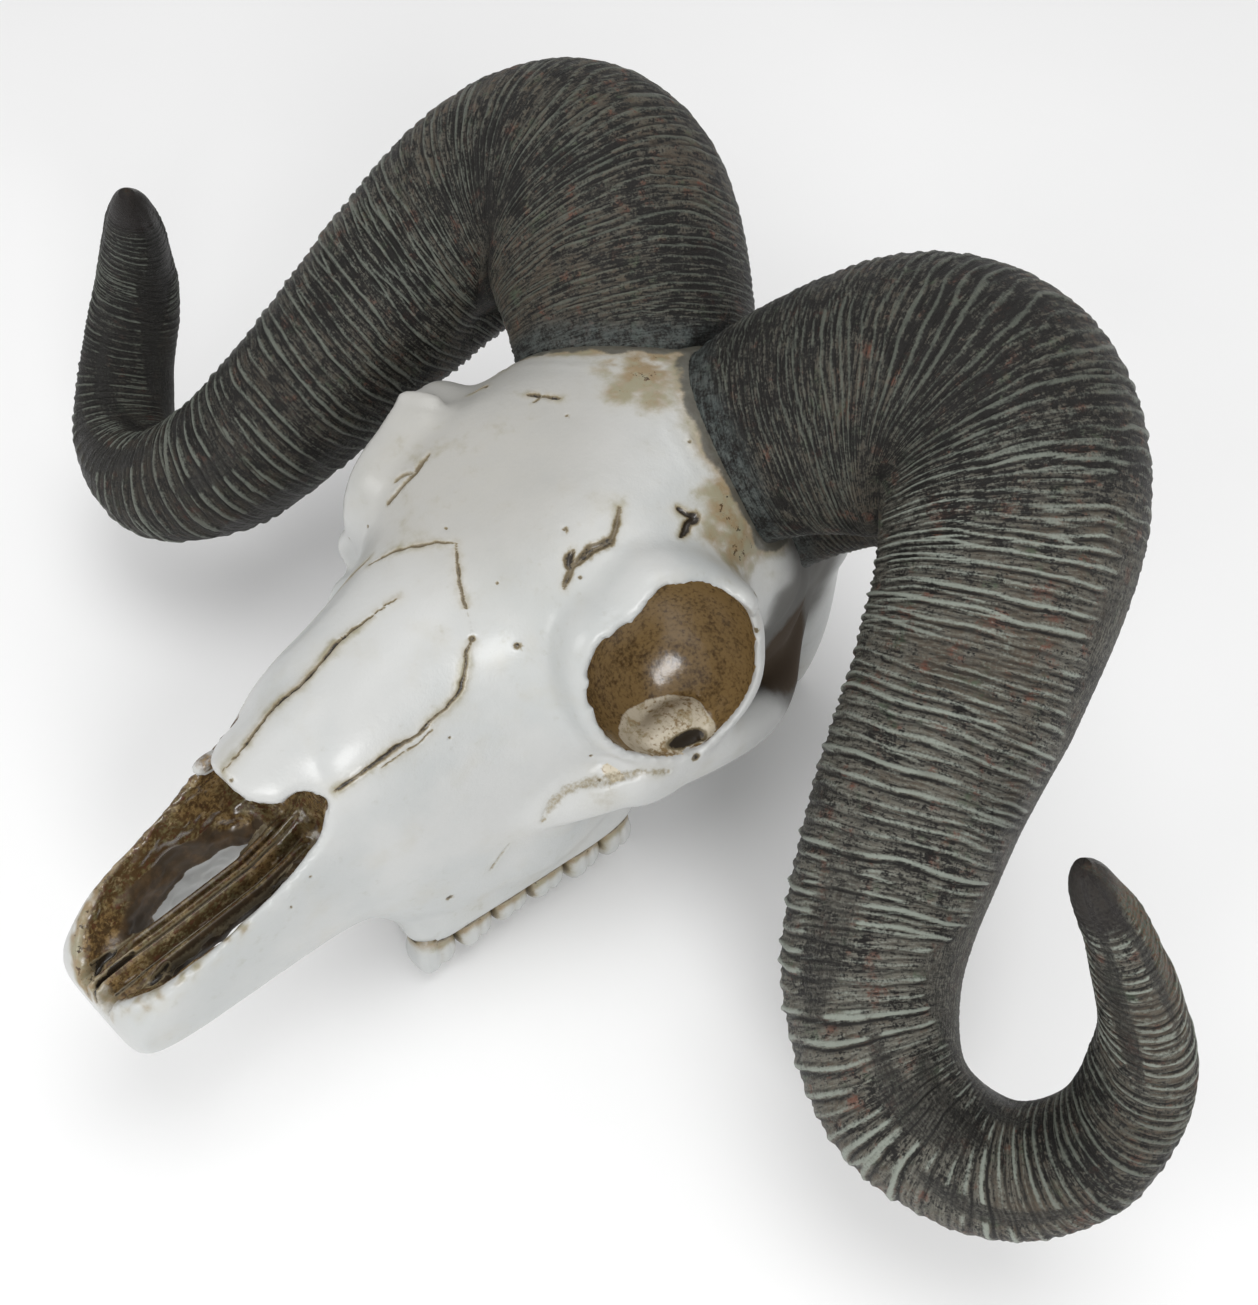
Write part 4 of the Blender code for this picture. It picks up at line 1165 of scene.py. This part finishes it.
def addNode(tree, kind, settings, inputs, output=0):
    node = tree.nodes.new(kind)
    for name, value in settings.items():
        setattr(node, name, value)
    for name, value in inputs.items():
        fill(tree, node.inputs[name], value)
    return Value(tree, node.outputs[output])


def fill(tree, socket, value):
    if isinstance(value, Value):
        tree.links.new(value.socket, socket)
    else:
        socket.default_value = value


class Finish:
    # one material: its tree, its shader, the named colours for it and the colour laid so far
    def __init__(self, name, palette=None):
        self.material = bpy.data.materials.new(name)
        self.material.use_nodes = True
        self.tree = self.material.node_tree
        self.shader = self.tree.nodes["Principled BSDF"]
        self.shader.inputs["Metallic"].default_value = 0.0
        self.spot = self.node("ShaderNodeTexCoord", {}, {}, "Object")
        self.palette = palette
        self.colour = None

    def node(self, kind, settings, inputs, output=0):
        return addNode(self.tree, kind, settings, inputs, output)

    def attributes(self, *names):
        return [self.node("ShaderNodeAttribute", {"attribute_name": name}, {}, "Fac") for name in names]

    def noise(self, scale, detail=4.0, roughness=0.55, distortion=0.0, vector=None):
        inputs = {"Vector": vector or self.spot, "Scale": scale, "Detail": detail, "Roughness": roughness,
                  "Distortion": distortion}
        return self.node("ShaderNodeTexNoise", {}, inputs)

    def blend(self, amount, *pair):
        # each of the two is a colour, the name of one or a value
        first, second = (self.palette[item] if isinstance(item, str) else item for item in pair)
        return self.node("ShaderNodeMix", {"data_type": "RGBA"}, {0: amount, 6: first, 7: second}, 2)

    def lay(self, amount, top):
        # one more layer over the colour so far
        self.colour = self.blend(amount, self.colour, top)

    def bump(self, height, strength, distance):
        return self.node("ShaderNodeBump", {}, {"Height": height, "Strength": strength, "Distance": distance})

    def set(self, **inputs):
        for name, value in inputs.items():
            fill(self.tree, self.shader.inputs[name.replace("_", " ")], value)
        return self.material


def floorPaint():
    paint = Finish("pale_floor", studio)
    return paint.set(Base_Color=paint.blend(paint.noise(6.0), "floorDark", "floorPale"), Roughness=0.8)


def setStudio():
    bpy.ops.mesh.primitive_plane_add(size=studio["floorSize"], location=(0, 0, 0))
    floor = settle(bpy.context.object)
    floor.name = "studio_floor"
    floor.data.materials.append(floorPaint())
    for name, (position, size, power) in studio["lamps"].items():
        data = bpy.data.lights.new(name, "AREA")
        data.shape = "DISK"
        data.size = size
        data.energy = power
        lamp = bpy.data.objects.new(name, data)
        bpy.context.scene.collection.objects.link(lamp)
        lamp.location = position
        lamp.rotation_euler = (Vector(studio["aim"]) - Vector(position)).to_track_quat("-Z", "Y").to_euler()
    world = bpy.data.worlds.new("studio_light")
    bpy.context.scene.world = world
    world.use_nodes = True
    background = world.node_tree.nodes["Background"]
    background.inputs["Color"].default_value = studio["worldColour"]
    background.inputs["Strength"].default_value = studio["worldStrength"]
    bpy.context.scene.view_settings.view_transform = "Standard"


# Colours are linear: white casting paint, the olive and brown washes over it, and the dark in the carved lines
boneColours = {
    "white": (0.505, 0.51, 0.50, 1), "cool": (0.45, 0.465, 0.46, 1), "ivory": (0.43, 0.41, 0.345, 1),
    "olive": (0.25, 0.225, 0.14, 1), "ochre": (0.235, 0.165, 0.08, 1), "rust": (0.09, 0.034, 0.018, 1),
    "brown": (0.21, 0.135, 0.055, 1), "umber": (0.075, 0.043, 0.018, 1), "tan": (0.33, 0.25, 0.14, 1),
    "line": (0.135, 0.105, 0.06, 1), "black": (0.022, 0.016, 0.010, 1), "grey": (0.062, 0.058, 0.050, 1),
    "seam": (0.085, 0.088, 0.075, 1), "earth": (0.05, 0.03, 0.014, 1), "cream": (0.42, 0.37, 0.26, 1),
    "dull": (0.32, 0.305, 0.275, 1), "edge": (0.26, 0.22, 0.14, 1), "moss": (0.125, 0.105, 0.05, 1),
    "shell": (0.57, 0.51, 0.4, 1), "pit": (0.045, 0.028, 0.013, 1),
}


def bonePaint(name, carved):
    # the casting has washes and painted hollows that the teeth don't have
    paint = Finish(name, boneColours)
    broad, mid, small = paint.noise(22.0), paint.noise(75.0, 6.0), paint.noise(260.0, 6.0, 0.65)
    grain, speck = paint.noise(1100.0), paint.noise(620.0, 3.0, 0.7)
    offBroad, offMid, offSmall, offGrain = broad - 0.5, mid - 0.5, small - 0.5, grain - 0.5
    ochre, line = paint.attributes("ochre", "line")
    paint.colour = paint.blend(broad.between(0.4, 0.65), "white", "cool")
    paint.lay(mid.between(0.5, 0.78) * 0.35, "ivory")
    paint.lay((small * 0.6 + broad * 0.4).between(0.56, 0.7) * 0.2, "olive")
    if carved:
        dull, shade, temple, seam = paint.attributes("dull", "shade", "temple", "seam")
        inNose, brown, dome, deep = paint.attributes("inNose", "brown", "dome", "deep")
        paint.lay((dull + offBroad * 0.7).between(0.1, 1.0) * 0.55, "dull")
    paint.lay((ochre * 0.9).atMost(0.5), "ivory")
    wash = (ochre + offSmall * 0.8 + offMid * 0.8).between(0.18, 0.75)
    paint.lay(wash * 0.92, paint.blend((small * 0.6 + mid * 0.4).between(0.44, 0.58), "ochre", "olive"))
    specks = (ochre * 0.35 + speck * 0.95).between(0.87, 0.92)
    paint.lay(specks * (ochre * 1.4).atMost(1.0), paint.blend(small.between(0.45, 0.55), "umber", "black"))
    rough, coat = 0.38, 0.25
    if carved:
        # painted shade in the hollow behind each socket, partly a wash: grey over the wide area, darker earth
        # at the temple
        paint.lay((shade + offMid * 0.5).between(0.1, 0.9) * 0.84, "grey")
        paint.lay((temple + offSmall * 0.7).between(0.2, 0.85) * 0.92, "earth")
        paint.lay((seam + offSmall * 0.9).between(0.25, 0.7) * 0.9,
                  paint.blend(small.between(0.35, 0.65), "seam", "grey"))

        # mottled dark paint in the sockets, the nose and its slots
        fine = paint.noise(900.0, 2.0, 0.5)
        dark = (mid * 0.5 + small * 0.5 + offGrain * 0.4) * 0.6 + fine * 0.45 + offBroad * 0.25 - 0.02
        inSocket = paint.blend(dark.between(0.42, 0.66), "brown",
                               paint.blend(grain.between(0.42, 0.58), "earth", "umber"))
        wet = paint.blend(mid.between(0.45, 0.6), "moss", "brown")
        wet = paint.blend(dark.between(0.44, 0.6), "umber", wet)
        wet = paint.blend((small * 0.7 + grain * 0.3).between(0.53, 0.66) * 0.85, wet, "tan")
        wet = paint.blend(paint.noise(420.0, 3.0, 0.6).between(0.58, 0.66) * 0.8, wet, "rust")
        wet = paint.blend((mid * 0.6 + speck * 0.4).between(0.56, 0.62) * 0.8, wet, "earth")
        wet = paint.blend(inNose.between(0.2, 0.6), inSocket, wet)
        inSlot = paint.blend((small * 0.6 + mid * 0.4).between(0.46, 0.6), "pit", "umber")
        wet = paint.blend(deep * 0.95, wet, inSlot)
        mask = (brown + (offGrain * 0.3 + offSmall * 0.7) * (inNose * 0.8 + 0.25)).between(0.32, 0.6)
        paint.lay(mask, wet)

        # the pale dome, then dull paint where little light should come back
        shell = paint.blend(grain.between(0.4, 0.6), "tan", "cream")
        shell = paint.blend(small.between(0.38, 0.52), shell, "shell")
        shell = paint.blend((mid * 0.6 + fine * 0.4).between(0.5, 0.6) * 0.9, shell, "brown")
        paint.lay((dome + offSmall * 0.7).between(0.35, 0.65), shell)
        dry = (deep + shade).atMost(1.0)
        rough = 0.38 - mask * 0.18 + dry * 0.55
        coat = 0.25 - dry * 0.25 + mask * 0.1
    # dark paint of the carved lines and pits, with the painted shade of the septum slits
    inkAndShade = paint.blend((line + offSmall * 0.6).between(0.35, 0.75), "edge", "line")
    inkAndShade = paint.blend((line + offGrain * 0.7 + offSmall * 0.7).between(0.8, 1.05), inkAndShade, "black")
    paint.lay((line + offGrain * 0.6 + offSmall * 0.5).between(0.15, 0.6), inkAndShade)
    height = small * 0.5 + grain * 0.25 + mid * 0.8
    return paint.set(Base_Color=paint.colour, Roughness=rough, Coat_Weight=coat, Coat_Roughness=0.2,
                     Specular_IOR_Level=0.36, Normal=paint.bump(height, 0.4, 0.0006))


hornColours = {
    "black": (0.006, 0.005, 0.004, 1), "brown": (0.074, 0.056, 0.038, 1), "grey": (0.08, 0.076, 0.061, 1),
    "greyWorn": (0.135, 0.13, 0.108, 1), "crest": (0.104, 0.116, 0.094, 1), "rust": (0.13, 0.045, 0.027, 1),
    "crestWorn": (0.26, 0.285, 0.245, 1), "moss": (0.055, 0.082, 0.048, 1), "blue": (0.072, 0.088, 0.085, 1),
    "tip": (0.012, 0.009, 0.008, 1), "amber": (0.15, 0.07, 0.03, 1),
}


def hornPaint():
    paint = Finish("dark_horn_paint", hornColours)
    sheet = paint.node("ShaderNodeTexCoord", {}, {}, "UV")
    crest, furrow, smooth, collar, worn = paint.attributes("crest", "furrow", "smooth", "collar", "worn")
    tip, middle, patina, dim, glossAndPaintedReflection = paint.attributes("tip", "middleShare", "patina", "dim", "glossAndPaintedReflection")
    broad, mid, small = paint.noise(16.0), paint.noise(60.0, 6.0, 0.6), paint.noise(330.0, 6.0, 0.7)
    grain, patches = paint.noise(1500.0, 3.0, 0.6), paint.noise(95.0, 5.0, 0.65).between(0.5, 0.64)
    # noise with its own scale round the horn and along it
    drawn = []
    for around, along, *pattern in ((34.0, 620.0, 5.0, 0.65), (260.0, 60.0, 5.0, 0.65, 0.3),
                                    (130.0, 300.0, 4.0, 0.7, 0.6)):
        inputs = {0: sheet, 1: (around, along, 1.0)}
        stretched = paint.node("ShaderNodeVectorMath", {"operation": "MULTIPLY"}, inputs)
        drawn.append(paint.noise(1.0, *pattern, vector=stretched))
    fibre, scratch, hatch = drawn
    offBroad, offMid, offSmall, offGrain = broad - 0.5, mid - 0.5, small - 0.5, grain - 0.5
    offFibre = fibre - 0.5

    # the ground between the ridges: black, with lit patches of other colours
    tone = offMid * 0.5 + offSmall * 0.9 + offFibre * 1.7 + offGrain * 0.9 + (hatch - 0.5) * 0.8 + middle * 0.1
    lit = (tone + middle * 0.1 + offBroad * 0.9 - patches * 0.22).between(-0.16, 0.2)
    paint.colour = paint.blend(lit, "black", paint.blend(middle, "grey", "greyWorn"))
    paint.lay((broad * 0.4 + mid * 0.2 + small * 0.4).between(0.46, 0.58) * lit * 0.9, "brown")
    paint.lay(paint.noise(170.0, 4.0, 0.7).between(0.56, 0.68) * (lit * 0.7 + 0.1), "rust")
    paint.lay(paint.noise(130.0, 4.0, 0.7).between(0.56, 0.7) * (lit * 0.7 + 0.1), "moss")
    back = paint.blend((scratch * 0.5 + hatch * 0.3 + grain * 0.3).between(0.5, 0.66), "black",
                       paint.blend(middle, "crest", "greyWorn"))
    paint.lay((smooth + worn * 0.7).atMost(1.0) * 0.8, back)
    base = paint.blend((small * 0.5 + grain * 0.3 + fibre * 0.3).between(0.46, 0.64), "black", "blue")
    paint.lay(collar * 0.8, base)
    paint.lay(dim * 0.7, "black")
    # painted shadow: black in the furrow under each ridge
    paint.lay((furrow * 1.5).atMost(1.0) * 0.95, "black")

    # pale paint brushed over the crests
    dry = (crest + offGrain * 0.7 + offSmall * 0.6 + offFibre * 0.4 + offMid * 0.4).between(0.32, 0.84)
    pale = paint.blend((middle * 1.6).atMost(1.0), "crest", "crestWorn")
    pale = paint.blend((broad * 0.4 + mid * 0.6).between(0.5, 0.68) * 0.5, pale, "grey")
    paint.lay(dry * (middle * 0.5 + 0.64).atMost(0.92), pale)
    paint.lay((worn + offSmall * 1.6 + offFibre * 0.8).between(0.5, 1.3) * 0.6, "black")
    paint.lay((patina + offSmall * 1.2 + offFibre * 0.8).between(0.45, 1.15) * 0.65,
              paint.blend(grain.between(0.42, 0.58), "amber", "moss"))
    paint.lay((tip - patina * 0.5 + offSmall * 1.4).between(0.1, 0.6) * 0.85, "tip")
    # painted reflection: the strip of the hook that faces the camera is painted black, and made glossier
    paintedReflectionBand = (glossAndPaintedReflection + offSmall * 1.2 + offFibre * 0.6).between(0.45, 0.8)
    paint.lay(paintedReflectionBand * 0.9, "black")
    rough = 0.56 - dry * 0.14 - tip * 0.1 - worn * 0.22 - paintedReflectionBand * 0.24 + offSmall * 0.25
    height = fibre * 0.6 + small * 0.6 + grain * 0.3 + scratch * smooth * 0.5 + hatch * 0.4
    return paint.set(Base_Color=paint.colour, Roughness=rough, Specular_IOR_Level=0.3,
                     Normal=paint.bump(height, 0.8, 0.0011))


def finishPiece(obj, material, nodes):
    obj.data.materials.clear()
    obj.data.materials.append(material)
    pick(obj)
    bpy.ops.object.shade_smooth()
    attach(obj, "root")
    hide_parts(*nodes)


skull, cutterTrees = buildSkull()
print("skull", len(skull.data.polygons))
skullTree = treeOf(skull)
horns = [buildHorn(side, skullTree) for side in (1, -1)]
print("horns", len(horns[0].data.polygons))
detailSkull(skull, cutterTrees, horns)
skullTree = treeOf(skull)
teethRows = [buildTeeth(side) for side in (1, -1)]
for row in teethRows:
    detailTeeth(row, skullTree)
print("teeth", len(teethRows[0].data.polygons))
hornNodes = [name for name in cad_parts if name.startswith("horn_")]
boneNodes = [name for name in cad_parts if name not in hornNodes]
finishPiece(skull, bonePaint("bone_white_paint", True), boneNodes)
toothPaint = bonePaint("tooth_white_paint", False)
for row, word in zip(teethRows, ("left", "right")):
    finishPiece(row, toothPaint, ["maxilla_" + word])
dark = hornPaint()
for horn, word in zip(horns, ("left", "right")):
    finishPiece(horn, dark, [name for name in hornNodes if word in name])
setCamera()
setStudio()
bpy.context.view_layer.update()
